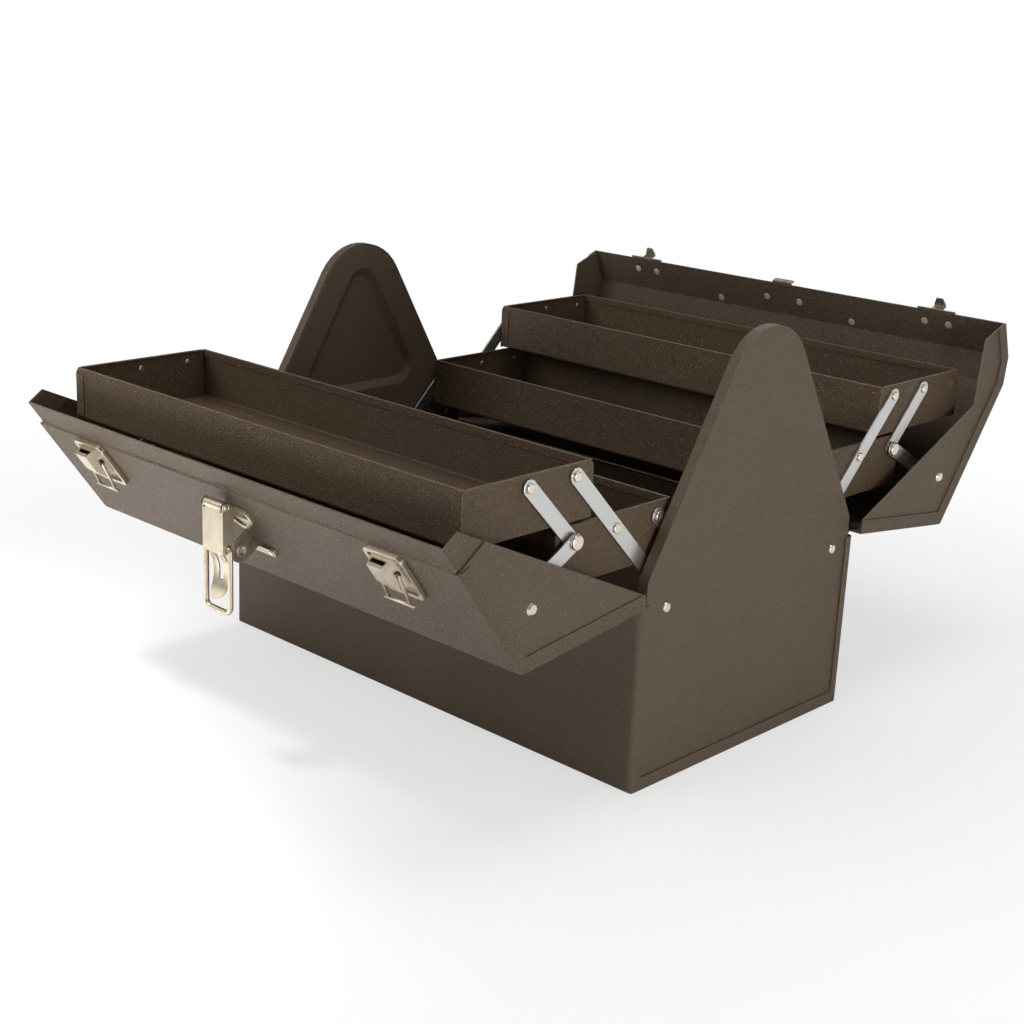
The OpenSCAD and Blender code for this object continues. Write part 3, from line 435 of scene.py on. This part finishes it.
def tray_pins(node, name, coat, steps):
    """Headed pivots of a tray: flat outer heads on their shanks, and small domed tails inside the tray."""
    def build(bm):
        for low, high in loose_parts(node):
            end, near = outward(low, high)
            out = Vector((end, 0, 0))
            length, radius = high.x - low.x, (high.y - low.y) / 2
            far = near + out * length
            if length < PIVOT_LENGTH:
                dome(bm, facing(-out, far), radius, length, steps)
                continue
            flat_head(bm, facing(out, far - out * PIN_HEAD), radius, PIN_HEAD, steps)
            tube(bm, [near + out * SHANK_START, far - out * PIN_HEAD * 0.9], SHANK, SHANK_STEPS)
    new_piece(name, mesh_from(name, build), BODY_OF[node], coat, (node,))


def blind_rivet(bm, place, radius, steps):
    """A tubular rivet painted over: a rolled ring round a shallow well."""
    lathe(bm, [(radius * 1.02, -0.00005), (radius, 0.0004), (radius * 0.9, 0.0007), (radius * 0.76, 0.00072),
               (radius * 0.64, 0.0005), (radius * 0.6, 0.0001), (radius * 0.5, 0.00004), (0, 0.00002)], place, steps)


def hole_shade_disc(bm, place, radius, inner, steps):
    """A thin dark disc of painted shade that shows as a hole."""
    lathe(bm, [(radius, -0.00002), (inner, 0.00006), (0, 0.00006)], place, steps)


# Shader groups
def socket(tree, name, way, kind, value=None, low=None, high=None):
    """A socket on the outside of a shader group."""
    made = tree.interface.new_socket(name=name, in_out=way, socket_type=kind)
    if value is not None:
        made.default_value = value
    if low is not None:
        made.min_value, made.max_value = low, high


def add_node(tree, kind, **values):
    """A node with some of its values set."""
    made = tree.nodes.new(kind)
    for name, value in values.items():
        setattr(made, name, value)
    return made


def math_node(tree, operation, first, second=None, third=None, clamp=False):
    """The result of a sum on numbers or sockets."""
    made = add_node(tree, "ShaderNodeMath", operation=operation, use_clamp=clamp)
    for index, value in enumerate((first, second, third)):
        if value is None:
            continue
        if isinstance(value, (int, float)):
            made.inputs[index].default_value = value
        else:
            tree.links.new(value, made.inputs[index])
    return made.outputs[0]


def ramp(tree, value, low, high):
    """A value turned to 0 at low and 1 at high, with a soft start and end."""
    made = add_node(tree, "ShaderNodeMapRange", interpolation_type="SMOOTHSTEP")
    made.inputs["From Min"].default_value = low
    made.inputs["From Max"].default_value = high
    tree.links.new(value, made.inputs["Value"])
    return made.outputs["Result"]


def mixed(tree, factor, first, second, blend="MIX"):
    """Two colours mixed. In a colour mix node they are inputs 6 and 7, and the result is output 2."""
    made = add_node(tree, "ShaderNodeMix", data_type="RGBA", blend_type=blend, clamp_result=True)
    for index, value in ((0, factor), (6, first), (7, second)):
        if isinstance(value, bpy.types.NodeSocket):
            tree.links.new(value, made.inputs[index])
        else:
            made.inputs[index].default_value = value
    return made.outputs[2]


def noise(tree, where, scale, detail=2.0, rough=0.5):
    """Noise between 0 and 1, with a scale in lumps per metre."""
    made = add_node(tree, "ShaderNodeTexNoise")
    tree.links.new(where, made.inputs["Vector"])
    if isinstance(scale, (int, float)):
        made.inputs["Scale"].default_value = scale
    else:
        tree.links.new(scale, made.inputs["Scale"])
    made.inputs["Detail"].default_value = detail
    made.inputs["Roughness"].default_value = rough
    return made.outputs["Fac"]


def wrinkle_group():
    """Wrinkle powder coat: mottled colour with painted shade and highlight on the wrinkles, flecks that are partly
    painted glints, grainy relief and gloss.
    """
    tree = bpy.data.node_groups.new("Wrinkle Coat", "ShaderNodeTree")
    socket(tree, "Paint", "INPUT", "NodeSocketColor", (0.1, 0.08, 0.06, 1))
    socket(tree, "Fleck", "INPUT", "NodeSocketColor", (0.4, 0.3, 0.25, 1))
    socket(tree, "Grain", "INPUT", "NodeSocketFloat", 0.001, 0.0002, 0.01)
    socket(tree, "Fleck Share", "INPUT", "NodeSocketFloat", 0.35, 0, 1)
    socket(tree, "Gloss", "INPUT", "NodeSocketFloat", 0.5, 0, 1)
    # How strongly the wrinkles are painted with shade in the hollows and highlight on the crests
    socket(tree, "Mottle", "INPUT", "NodeSocketFloat", 0.8, 0, 1)
    socket(tree, "Color", "OUTPUT", "NodeSocketColor")
    socket(tree, "Roughness", "OUTPUT", "NodeSocketFloat")
    socket(tree, "Height", "OUTPUT", "NodeSocketFloat")
    ins = add_node(tree, "NodeGroupInput").outputs
    outs = add_node(tree, "NodeGroupOutput").inputs
    where = add_node(tree, "ShaderNodeTexCoord").outputs["Object"]
    # Wrinkles, coarser lumps among them, and wide clouds
    per_metre = math_node(tree, "DIVIDE", 1.0, ins["Grain"])
    wrinkle = ramp(tree, noise(tree, where, per_metre, 3.0, 0.62), 0.36, 0.66)
    lumps = noise(tree, where, math_node(tree, "MULTIPLY", per_metre, 0.38))
    clouds = noise(tree, where, 9.0)
    # Flecks: some cells of a pattern, each with its own size and strength; their lighter colour is partly real
    # flakes, partly painted glint
    cells = add_node(tree, "ShaderNodeTexVoronoi", feature="F1")
    tree.links.new(where, cells.inputs["Vector"])
    tree.links.new(math_node(tree, "MULTIPLY", per_metre, 0.75), cells.inputs["Scale"])
    chance = add_node(tree, "ShaderNodeSeparateColor")
    tree.links.new(cells.outputs["Color"], chance.inputs["Color"])
    picked = math_node(tree, "LESS_THAN", chance.outputs[0], ins["Fleck Share"])
    size = math_node(tree, "MULTIPLY_ADD", chance.outputs[1], 0.16, 0.12)
    near = math_node(tree, "LESS_THAN", cells.outputs["Distance"], size)
    strength = math_node(tree, "MULTIPLY_ADD", chance.outputs[2], 0.75, 0.25)
    glinting_fleck = math_node(tree, "MULTIPLY", math_node(tree, "MULTIPLY", picked, near), strength)
    # Colour: darker hollows and lighter crests as painted shade and highlight of the wrinkles, calmer on the lumps,
    # a little paler in the clouds
    # hollow is painted shade and crest painted highlight; crest also gives the clouds their paler tone
    hollow = mixed(tree, 1.0, ins["Paint"], (0.66, 0.64, 0.62, 1), "MULTIPLY")
    crest = mixed(tree, 0.80, mixed(tree, 1.0, ins["Paint"], (0.30, 0.29, 0.28, 1), "DIVIDE"), ins["Paint"])
    body = mixed(tree, ins["Mottle"], ins["Paint"], mixed(tree, wrinkle, hollow, crest))
    body = mixed(tree, math_node(tree, "MULTIPLY", ramp(tree, lumps, 0.3, 0.7), 0.22), body, ins["Paint"])
    body = mixed(tree, math_node(tree, "MULTIPLY", ramp(tree, clouds, 0.35, 0.7), 0.10), body, crest)
    tree.links.new(mixed(tree, glinting_fleck, body, ins["Fleck"]), outs["Color"])
    # Gloss: crests and flecks are rubbed smoother
    dull = math_node(tree, "SUBTRACT", 0.86, math_node(tree, "MULTIPLY", ins["Gloss"], 0.6))
    uneven = math_node(tree, "MULTIPLY_ADD", wrinkle, -0.10, dull)
    tree.links.new(math_node(tree, "MULTIPLY_ADD", glinting_fleck, -0.22, uneven, clamp=True), outs["Roughness"])
    relief = math_node(tree, "MULTIPLY_ADD", lumps, 0.6, wrinkle)
    tree.links.new(math_node(tree, "MULTIPLY_ADD", glinting_fleck, 0.5, relief), outs["Height"])
    return tree


def plating_group():
    """Plated steel: faint rolling streaks, cloudy tarnish, and a gloss that varies with clouds and specks."""
    tree = bpy.data.node_groups.new("Plated Steel", "ShaderNodeTree")
    socket(tree, "Plate", "INPUT", "NodeSocketColor", (0.7, 0.7, 0.7, 1))
    socket(tree, "Tarnish", "INPUT", "NodeSocketColor", (0.4, 0.35, 0.3, 1))
    socket(tree, "Tarnish Share", "INPUT", "NodeSocketFloat", 0.3, 0, 1)
    socket(tree, "Gloss", "INPUT", "NodeSocketFloat", 0.6, 0, 1)
    socket(tree, "Streak", "INPUT", "NodeSocketFloat", 0.5, 0, 1)
    socket(tree, "Color", "OUTPUT", "NodeSocketColor")
    socket(tree, "Roughness", "OUTPUT", "NodeSocketFloat")
    socket(tree, "Height", "OUTPUT", "NodeSocketFloat")
    ins = add_node(tree, "NodeGroupInput").outputs
    outs = add_node(tree, "NodeGroupOutput").inputs
    where = add_node(tree, "ShaderNodeTexCoord").outputs["Object"]
    # Streaks that run along X
    stretch = add_node(tree, "ShaderNodeMapping")
    stretch.inputs["Scale"].default_value = (1.0, 14.0, 14.0)
    tree.links.new(where, stretch.inputs["Vector"])
    streak = noise(tree, stretch.outputs[0], 180.0, 3.0, 0.6)
    clouds = noise(tree, where, 140.0, 3.0, 0.55)
    specks = noise(tree, where, 1500.0, 1.0)
    # Colour: tarnish in the clouds, and darker streaks
    stain = math_node(tree, "MULTIPLY", ramp(tree, clouds, 0.42, 0.72), ins["Tarnish Share"])
    color = mixed(tree, stain, ins["Plate"], ins["Tarnish"])
    streaked = mixed(tree, 1.0, color, (0.86, 0.85, 0.84, 1), "MULTIPLY")
    share = math_node(tree, "MULTIPLY", ramp(tree, streak, 0.35, 0.65), ins["Streak"])
    tree.links.new(mixed(tree, share, color, streaked), outs["Color"])
    # Gloss: duller in the clouds and on the specks
    rough = math_node(tree, "SUBTRACT", 0.62, math_node(tree, "MULTIPLY", ins["Gloss"], 0.45))
    rough = math_node(tree, "SUBTRACT", math_node(tree, "MULTIPLY_ADD", clouds, 0.16, rough), 0.1)
    tree.links.new(math_node(tree, "MULTIPLY_ADD", specks, 0.08, rough, clamp=True), outs["Roughness"])
    tree.links.new(math_node(tree, "ADD", math_node(tree, "MULTIPLY", streak, ins["Streak"]),
                             math_node(tree, "MULTIPLY", specks, 0.4)), outs["Height"])
    return tree


def finish(name, group, depth, metal, specular, settings):
    """A material made of one placed shader group, a bump and a Principled shader."""
    made = bpy.data.materials.new(name)
    made.use_nodes = True
    tree = made.node_tree
    shader = tree.nodes["Principled BSDF"]
    placed = add_node(tree, "ShaderNodeGroup", node_tree=group)
    for key, value in settings.items():
        placed.inputs[key].default_value = (*value, 1) if isinstance(value, tuple) else value
    bump = add_node(tree, "ShaderNodeBump")
    bump.inputs["Distance"].default_value = depth
    bump.inputs["Strength"].default_value = 0.9
    tree.links.new(placed.outputs["Height"], bump.inputs["Height"])
    tree.links.new(bump.outputs["Normal"], shader.inputs["Normal"])
    tree.links.new(placed.outputs["Color"], shader.inputs["Base Color"])
    tree.links.new(placed.outputs["Roughness"], shader.inputs["Roughness"])
    shader.inputs["Metallic"].default_value = metal
    shader.inputs["Specular IOR Level"].default_value = specular


def finishes():
    """Every finish by name, made once."""
    if "Paint" in bpy.data.materials:
        return {m.name: m for m in bpy.data.materials}
    paint, plate = bpy.context.scene.toolbox_paint, bpy.context.scene.toolbox_plate
    coat, steel = wrinkle_group(), plating_group()
    shade, inner = tuple(paint.shade), tuple(paint.tray_tone_and_painted_shade)
    # Edge coats: the paints made lighter, partly for wear and partly as painted highlight
    worn_highlit, worn_highlit_tray = (tuple(c * paint.worn_highlit for c in colour) for colour in (shade, inner))
    brass_dust = (0.33, 0.27, 0.19)
    for name, colour, relief, flecks, gloss, painted_wrinkle_shade, specular in (
            ("Paint", shade, 0.7, 0.05, 0.55, 0.5, 0.3),
            ("Lid Paint", shade, 1.0, 0.26, 0.5, 0.95, 0.3),
            # Tray paint: partly its own tone, partly painted shade
            ("Tray Paint", inner, 0.6, 0.40, 0.5, 0.8, 0.3),
            ("Worn Paint", worn_highlit, 1.0, 0.7, 0.5, 0.8, 0.4),
            ("Worn Tray Paint", worn_highlit_tray, 1.0, 0.7, 0.5, 0.8, 0.4)):
        finish(name, coat, paint.relief * relief, 0.0, specular,
               {"Paint": colour, "Fleck": tuple(paint.glinting_fleck), "Grain": paint.grain, "Fleck Share": flecks,
                "Gloss": gloss, "Mottle": painted_wrinkle_shade})
    for name, colour, tarnish, share, gloss, streak, relief, metal in (
            ("Nickel", tuple(plate.nickel), brass_dust, 0.35, 0.62, 0.5, 0.00002, 1.0),
            ("Rivet Nickel", (0.76, 0.68, 0.55), brass_dust, 0.15, 0.8, 0.1, 0.00001, 1.0),
            ("Dull Nickel", (0.62, 0.56, 0.46), brass_dust, 0.3, 0.55, 0.2, 0.00002, 0.45),
            # Nickel darkened as painted shade, with some tarnish, for fittings that stand in shadow
            ("Worn Nickel", (0.30, 0.25, 0.19), (0.10, 0.08, 0.06), 0.6, 0.45, 0.4, 0.00003, 1.0),
            ("Zinc", tuple(plate.zinc), (0.42, 0.43, 0.44), 0.12, 0.7, 0.15, 0.00002, 1.0),
            ("Hinge Steel", (0.09, 0.07, 0.05), (0.05, 0.04, 0.03), 0.6, 0.4, 0.4, 0.00002, 1.0)):
        finish(name, steel, relief, metal, 0.4,
               {"Plate": colour, "Tarnish": tarnish, "Tarnish Share": share, "Gloss": gloss, "Streak": streak})
    return {m.name: m for m in bpy.data.materials}


class ToolBoxOperator:
    """What the operators of all pieces share: each makes its own with the scene's settings and finishes"""

    bl_options = {"REGISTER", "UNDO"}

    def execute(self, context):
        self.make(context.scene.toolbox_paint, context.scene.toolbox_plate, finishes())
        return {"FINISHED"}


class TOOLBOX_OT_case(ToolBoxOperator, bpy.types.Operator):
    """Case, end frames and hinges in wrinkle paint and steel"""

    bl_idname = "toolbox.case"
    bl_label = "Case"

    def make(self, paint, plate, coats):
        for node in ("case_shell", "end_skin_left", "end_skin_right", "end_liner_left", "end_liner_right"):
            softened(node, coats["Paint"], paint.edge, worn_highlit=coats["Worn Paint"])
        for node in ("front_case_leaf", "back_case_leaf", "front_lid_leaf", "back_lid_leaf", "hinge_pins"):
            carried(node, coats["Hinge Steel"])
        heads("case_rivets", "case_rivet_heads", coats["Rivet Nickel"], plate.ring, flat=0.7)
        carried("case_pivots", coats["Nickel"])


class TOOLBOX_OT_lids(ToolBoxOperator, bpy.types.Operator):
    """Both folded lids with their end caps and pivot studs"""

    bl_idname = "toolbox.lids"
    bl_label = "Lids"

    def make(self, paint, plate, coats):
        for side in ("front", "back"):
            for part in ("lid_shell", "cap_left", "cap_right"):
                coat = coats["Lid Paint" if part == "lid_shell" else "Paint"]
                softened(f"{side}_{part}", coat, paint.edge, worn_highlit=coats["Worn Paint"])
            carried(f"{side}_lid_pivots", coats["Rivet Nickel"])


class TOOLBOX_OT_trays(ToolBoxOperator, bpy.types.Operator):
    """Four trays, their ends and their rivets"""

    bl_idname = "toolbox.trays"
    bl_label = "Trays"

    def make(self, paint, plate, coats):
        for level in ("upper", "lower"):
            for side in ("front", "back"):
                name = f"{level}_{side}"
                for part in ("trough", "end_left", "end_right"):
                    # The trays take the darker tray paint: partly own tone, partly painted shade
                    softened(f"{name}_{part}", coats["Tray Paint"], paint.edge,
                             worn_highlit=coats["Worn Tray Paint"])
                tray_pins(f"{name}_rivets", f"{name}_pins", coats["Rivet Nickel"], plate.ring)
        for side, way in (("front", 1), ("back", -1)):
            y, z = BLIND_RIVET[0] * way, BLIND_RIVET[1]

            def outside(bm):
                for end in (-1, 1):
                    blind_rivet(bm, facing((end, 0, 0), (end * TRAY_END, y, z)), BLIND_RING, plate.ring)

            def inside(bm):
                for end in (-1, 1):
                    wall = end * (TRAY_END - TRAY_SHEET)
                    dome(bm, facing((-end, 0, 0), (wall, y, z)), *BLIND_TAIL, plate.ring)
            body = BODY_OF[f"upper_{side}_trough"]
            new_piece(f"upper_{side}_blind_rivets", mesh_from("blind_rivets", outside), body,
                      coats["Paint"])
            new_piece(f"upper_{side}_rivet_tails", mesh_from("rivet_tails", inside), body,
                      coats["Rivet Nickel"])


class TOOLBOX_OT_links(ToolBoxOperator, bpy.types.Operator):
    """Swing links in bright zinc"""

    bl_idname = "toolbox.links"
    bl_label = "Links"

    def make(self, paint, plate, coats):
        for side in ("front", "back"):
            for kind in ("long", "short", "inner"):
                softened(f"{kind}_links_{side}", coats["Zinc"], plate.edge)
            node = f"lid_links_{side}"
            softened(node, coats["Zinc"], plate.edge, longer_than=LINK_WIDTH)

            def bolts(bm):
                for low, high in loose_parts(node):
                    if high.y - low.y < LINK_WIDTH:
                        end, foot = outward(low, high)
                        flat_head(bm, facing((end, 0, 0), foot), (high.y - low.y) / 2, high.x - low.x, plate.ring)
            new_piece(f"{node}_bolts", mesh_from("bolts", bolts), BODY_OF[node], coats["Rivet Nickel"],
                      (node,))


class TOOLBOX_OT_latches(ToolBoxOperator, bpy.types.Operator):
    """Side catches, centre latch and their strikes"""

    bl_idname = "toolbox.latches"
    bl_label = "Latches"

    def make(self, paint, plate, coats):
        for node in ("side_catch_plates", "side_catch_boxes", "centre_latch_plate", "centre_lever",
                     "handle_brackets"):
            softened(node, coats["Nickel"], plate.edge)
        # Strikes, keeper and lug take the nickel darkened as painted shade
        softened("side_strikes", coats["Worn Nickel"], plate.edge)
        self.keeper(coats["Worn Nickel"], plate.edge)
        softened("padlock_lug", coats["Worn Nickel"], plate.edge)
        heads("front_lid_rivets", "front_lid_rivet_heads", coats["Rivet Nickel"], plate.ring, rolled=0.2,
              place=front_slope())
        self.back_rivets(coats["Dull Nickel"], plate.ring)
        self.wires(coats["Nickel"], plate.ring)
        self.bail(coats["Nickel"], plate.ring)
        self.small_parts(coats, plate.ring)

    def keeper(self, coat, edge):
        """Keeper of the centre latch: a riveted plate set back from the edge, and a bent lip that stands past it."""
        place = swung_back() @ closed_slope()
        low, high = loose_parts("centre_strike", place)[0]
        lip, back, front = KEEPER_LIP, low.y + KEEPER_BACK, low.y

        def build(bm):
            plate = [(high.x, high.y, 0), (low.x, high.y, 0), (low.x, back, 0), (-lip, back, 0), (-lip, front, 0),
                     (lip, front, 0), (lip, back, 0), (high.x, back, 0)]
            raised(bm, plate, KEEPER_SHEET)
            bend = front + KEEPER_SHEET
            tab = [(-lip, front), (lip, front), (lip, bend), (-lip, bend)]
            raised(bm, [(x, y, KEEPER_SHEET) for x, y in tab], high.z - KEEPER_SHEET)
            bm.transform(place)
        piece = new_piece("centre_keeper", mesh_from("centre_keeper", build, smooth=False), BODY_OF["centre_strike"],
                          coat, ("centre_strike",))
        rounded(piece, edge)

    def back_rivets(self, coat, steps):
        """Rivets of the strikes and handle: heads on the plates, broad domed tails under the sheet."""
        def build(bm):
            for tilt in (ROOF_SLOPE, -ROOF_SLOPE):
                place = swung_back() @ Matrix.Rotation(tilt, 4, "X")
                for low, high in loose_parts("back_lid_rivets", place):
                    middle = (low + high) / 2
                    on_front_slope = (swung_back().inverted() @ place @ middle).y < 0
                    if on_front_slope != (tilt > 0):
                        continue
                    radius, height = (high.x - low.x) / 2, high.z - low.z
                    if radius < TAIL_LIMIT:
                        foot, way, radius = Vector((middle.x, middle.y, high.z)), -1, BROAD_TAIL
                    else:
                        foot, way = Vector((middle.x, middle.y, low.z)), 1
                    dome(bm, place @ facing((0, 0, way), foot), radius, height, steps, flat=0.5)
        new_piece("back_lid_rivet_heads", mesh_from("back_lid_rivets", build), BODY_OF["back_lid_rivets"],
                  coat, ("back_lid_rivets",))

    def wires(self, coat, steps):
        """Side wires: two legs turned in at the box, welded to a cross bar."""
        turn = LID_OPEN + ROOF_SLOPE + WIRE_REST
        leg = Vector((0, math.cos(turn), math.sin(turn))) * WIRE_LONG
        for node in ("side_wire_left", "side_wire_right"):
            top = Vector(JOINT[f"{node}_swing"]["pos_m"])

            def build(bm):
                for way in (-1, 1):
                    tip, corner = (top + Vector((way * x, 0, 0)) for x in (WIRE_TIP, WIRE_HALF))
                    tube(bm, bent_path([tip, corner, corner + leg], WIRE_BEND), WIRE, steps // 2)
                bar = [top + leg + Vector((x, 0, 0)) for x in (-WIRE_BAR_HALF, WIRE_BAR_HALF)]
                tube(bm, bar, WIRE_BAR, steps // 2)
            new_piece(f"{node}_bent", mesh_from("side_wire", build), BODY_OF[node], coat, (node,))

    def bail(self, coat, steps):
        """The centre bail: one wire bent round, its ends turned into the lever."""
        half, (eye, depth) = LEVER_HALF + BAIL_GAP, BAIL_EYE

        def build(bm):
            side = [(BAIL_TIP, eye, depth), (half, eye, depth), (half, eye + BAIL_LONG, depth)]
            tube(bm, bent_path(mirrored_path(side), BAIL_BEND, 9), BAIL_WIRE, steps // 2, LEVER)
        new_piece("centre_bail_bent", mesh_from("centre_bail", build), BODY_OF["centre_bail"], coat,
                  ("centre_bail",))

    def small_parts(self, coats, steps):
        """Peened pin of the lever, dark wells round it and its eyes, dark eyes where the side wires enter their
        boxes, both painted shade of the holes, and the ring in the padlock lug."""
        lever = BODY_OF["centre_lever"]

        def pin(bm):
            for way in (-1, 1):
                lathe(bm, PEENED_PIN, facing((way, 0, 0), LEVER @ Vector((way * LEVER_HALF, 0, 0))), steps)

        def wells(bm):
            for way in (-1, 1):
                for at, radius in (((0, 0), PIN_WELL), (BAIL_EYE, EYE_WELL)):
                    place = facing((way, 0, 0), LEVER @ Vector((way * LEVER_HALF, *at)))
                    hole_shade_disc(bm, place, radius, radius * 0.97, steps)

        def eyes(bm):
            for low, high in loose_parts("side_catch_boxes"):
                side = "right" if low.x > 0 else "left"
                y, z = JOINT[f"side_wire_{side}_swing"]["pos_m"][1:]
                for way, x in ((-1, low.x), (1, high.x)):
                    hole_shade_disc(bm, facing((way, 0, 0), (x, y, z)), *WIRE_WELL, steps)

        def ring(bm):
            for way in (1, -1):
                lathe(bm, EYELET, facing((way, 0, 0), LUG_HOLE), steps)
        # The wells and eyes are thin dark discs: painted shade where the holes are
        for name, build, body, coat in (("lever_pin", pin, lever, "Rivet Nickel"),
                                        ("lever_hole_shades", wells, lever, "Worn Nickel"),
                                        ("wire_hole_shades", eyes, BODY_OF["side_catch_boxes"], "Hinge Steel"),
                                        ("lug_ring", ring, BODY_OF["padlock_lug"], "Nickel")):
            new_piece(name, mesh_from(name, build), body, coats[coat])


class TOOLBOX_OT_handle(ToolBoxOperator, bpy.types.Operator):
    """Folding carry handle"""

    bl_idname = "toolbox.handle"
    bl_label = "Carry handle"

    def make(self, paint, plate, coats):
        pivot = Vector(JOINT["carry_handle_swing"]["pos_m"])

        def build(bm):
            side = [(HANDLE_TIP, 0, 0), (HANDLE_HALF, 0, 0), (HANDLE_HALF, 0, -HANDLE_REACH)]
            path = [Vector(point) + pivot for point in mirrored_path(side)]
            tube(bm, bent_path(path, ROD_BEND, 8), ROD, plate.ring)
            lathe(bm, GRIP, facing((1, 0, 0), pivot + Vector((0, 0, -HANDLE_REACH))), plate.ring)
        new_piece("carry_handle_bent", mesh_from("carry_handle", build), BODY_OF["carry_handle"],
                  coats["Nickel"], ("carry_handle",))


class TOOLBOX_OT_stage(bpy.types.Operator):
    """Pale floor, soft studio light and the camera"""

    bl_idname = "toolbox.stage"
    bl_label = "Stage"

    def execute(self, context):
        stage = context.scene.toolbox_stage
        camera_data = bpy.data.cameras.new("Camera")
        camera_data.lens = stage.lens
        camera_data.sensor_width = 36
        camera_data.clip_end = 100
        camera = bpy.data.objects.new("Camera", camera_data)
        camera.location = stage.camera_place
        camera.rotation_euler = stage.camera_turn
        context.scene.collection.objects.link(camera)
        context.scene.camera = camera
        context.scene.view_settings.view_transform = "Standard"
        self.floor(context, stage.floor_half)
        self.world(context)
        for name, at, to, size, power in LAMPS:
            lamp_data = bpy.data.lights.new(name, "AREA")
            lamp_data.shape = "SQUARE"
            lamp_data.size = size
            self.hang(context, name, lamp_data, at, to, power)
        at, to, power, cone, radius = POOL
        pool = bpy.data.lights.new("Floor pool", "SPOT")
        pool.spot_size = cone
        pool.spot_blend = 1.0
        pool.shadow_soft_size = radius
        self.hang(context, "Floor pool", pool, at, to, power)
        return {"FINISHED"}

    def hang(self, context, name, lamp_data, at, to, power):
        """A lamp at a place, aimed at a point."""
        lamp_data.energy = power
        lamp = bpy.data.objects.new(name, lamp_data)
        lamp.matrix_world = facing(Vector(at) - Vector(to), at)
        context.scene.collection.objects.link(lamp)

    def floor(self, context, half):
        """A pale floor that takes the shadow and turns to plain white round the box, also in reflections."""
        def build(bm):
            square = ((-half, -half), (half, -half), (half, half), (-half, half))
            bm.faces.new([bm.verts.new((x, y, FLOOR_Z)) for x, y in square])
        mesh = mesh_from("Floor", build, smooth=False)
        floor = bpy.data.objects.new("Floor", mesh)
        context.scene.collection.objects.link(floor)
        made = bpy.data.materials.new("Floor")
        made.use_nodes = True
        tree = made.node_tree
        shader = tree.nodes["Principled BSDF"]
        shader.inputs["Base Color"].default_value = (0.80, 0.80, 0.80, 1)
        shader.inputs["Roughness"].default_value = 0.9
        shader.inputs["Specular IOR Level"].default_value = 0.1
        where = add_node(tree, "ShaderNodeTexCoord").outputs["Object"]
        away = add_node(tree, "ShaderNodeVectorMath", operation="LENGTH")
        tree.links.new(where, away.inputs[0])
        path = add_node(tree, "ShaderNodeLightPath")
        far = ramp(tree, away.outputs["Value"], *FLOOR_FADE)
        # To the camera the floor is six tenths plain white near the box, and wholly so far off
        white = math_node(tree, "MULTIPLY_ADD", far, 0.4, 0.6)
        seen = math_node(tree, "MULTIPLY", path.outputs["Is Camera Ray"], white)
        mirrored = math_node(tree, "MULTIPLY", path.outputs["Is Glossy Ray"], far)
        glow = add_node(tree, "ShaderNodeEmission")
        mix = add_node(tree, "ShaderNodeMixShader")
        tree.links.new(math_node(tree, "MAXIMUM", seen, mirrored), mix.inputs[0])
        tree.links.new(shader.outputs[0], mix.inputs[1])
        tree.links.new(glow.outputs[0], mix.inputs[2])
        tree.links.new(mix.outputs[0], tree.nodes["Material Output"].inputs["Surface"])
        mesh.materials.append(made)

    def world(self, context):
        """White behind the object, and a room that is brighter on the upper left than on the right."""
        world = bpy.data.worlds.new("Studio")
        context.scene.world = world
        world.use_nodes = True
        tree = world.node_tree
        back = tree.nodes["Background"]
        back.inputs["Color"].default_value = (1, 1, 1, 1)
        look = add_node(tree, "ShaderNodeTexCoord").outputs["Generated"]
        toward = add_node(tree, "ShaderNodeVectorMath", operation="DOT_PRODUCT")
        toward.inputs[1].default_value = Vector(ROOM_BRIGHT).normalized()
        tree.links.new(look, toward.inputs[0])
        least, more = ROOM_GLOW
        room = math_node(tree, "MULTIPLY_ADD", ramp(tree, toward.outputs["Value"], -0.2, 1.0), more, least)
        camera = add_node(tree, "ShaderNodeLightPath").outputs["Is Camera Ray"]
        own = math_node(tree, "MULTIPLY", room, math_node(tree, "SUBTRACT", 1.0, camera))
        tree.links.new(math_node(tree, "ADD", own, camera), back.inputs["Strength"])


class TOOLBOX_PT_panel(bpy.types.Panel):
    """Buttons for every group of pieces"""

    bl_label = "Cantilever Tool Box"
    bl_space_type = "VIEW_3D"
    bl_region_type = "UI"
    bl_category = "Tool Box"

    def draw(self, context):
        for group in (context.scene.toolbox_paint, context.scene.toolbox_plate, context.scene.toolbox_stage):
            box = self.layout.box()
            for name in group.__annotations__:
                box.prop(group, name)
        for operator in OPERATORS:
            self.layout.operator(operator.bl_idname)


SETTINGS = {"toolbox_paint": PaintSettings, "toolbox_plate": PlateSettings, "toolbox_stage": StageSettings}
OPERATORS = (TOOLBOX_OT_stage, TOOLBOX_OT_case, TOOLBOX_OT_lids, TOOLBOX_OT_trays, TOOLBOX_OT_links,
             TOOLBOX_OT_latches, TOOLBOX_OT_handle)


def register():
    """Adds the settings, operators and panel."""
    for cls in (*SETTINGS.values(), *OPERATORS, TOOLBOX_PT_panel):
        bpy.utils.register_class(cls)
    for name, cls in SETTINGS.items():
        setattr(bpy.types.Scene, name, PointerProperty(type=cls))


def unregister():
    """Takes them off again."""
    for name in SETTINGS:
        delattr(bpy.types.Scene, name)
    for cls in reversed((*SETTINGS.values(), *OPERATORS, TOOLBOX_PT_panel)):
        bpy.utils.unregister_class(cls)


def main():
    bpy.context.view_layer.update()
    register()
    for operator in OPERATORS:
        getattr(bpy.ops.toolbox, operator.bl_idname.split(".")[1])()


if __name__ == "__main__":
    main()
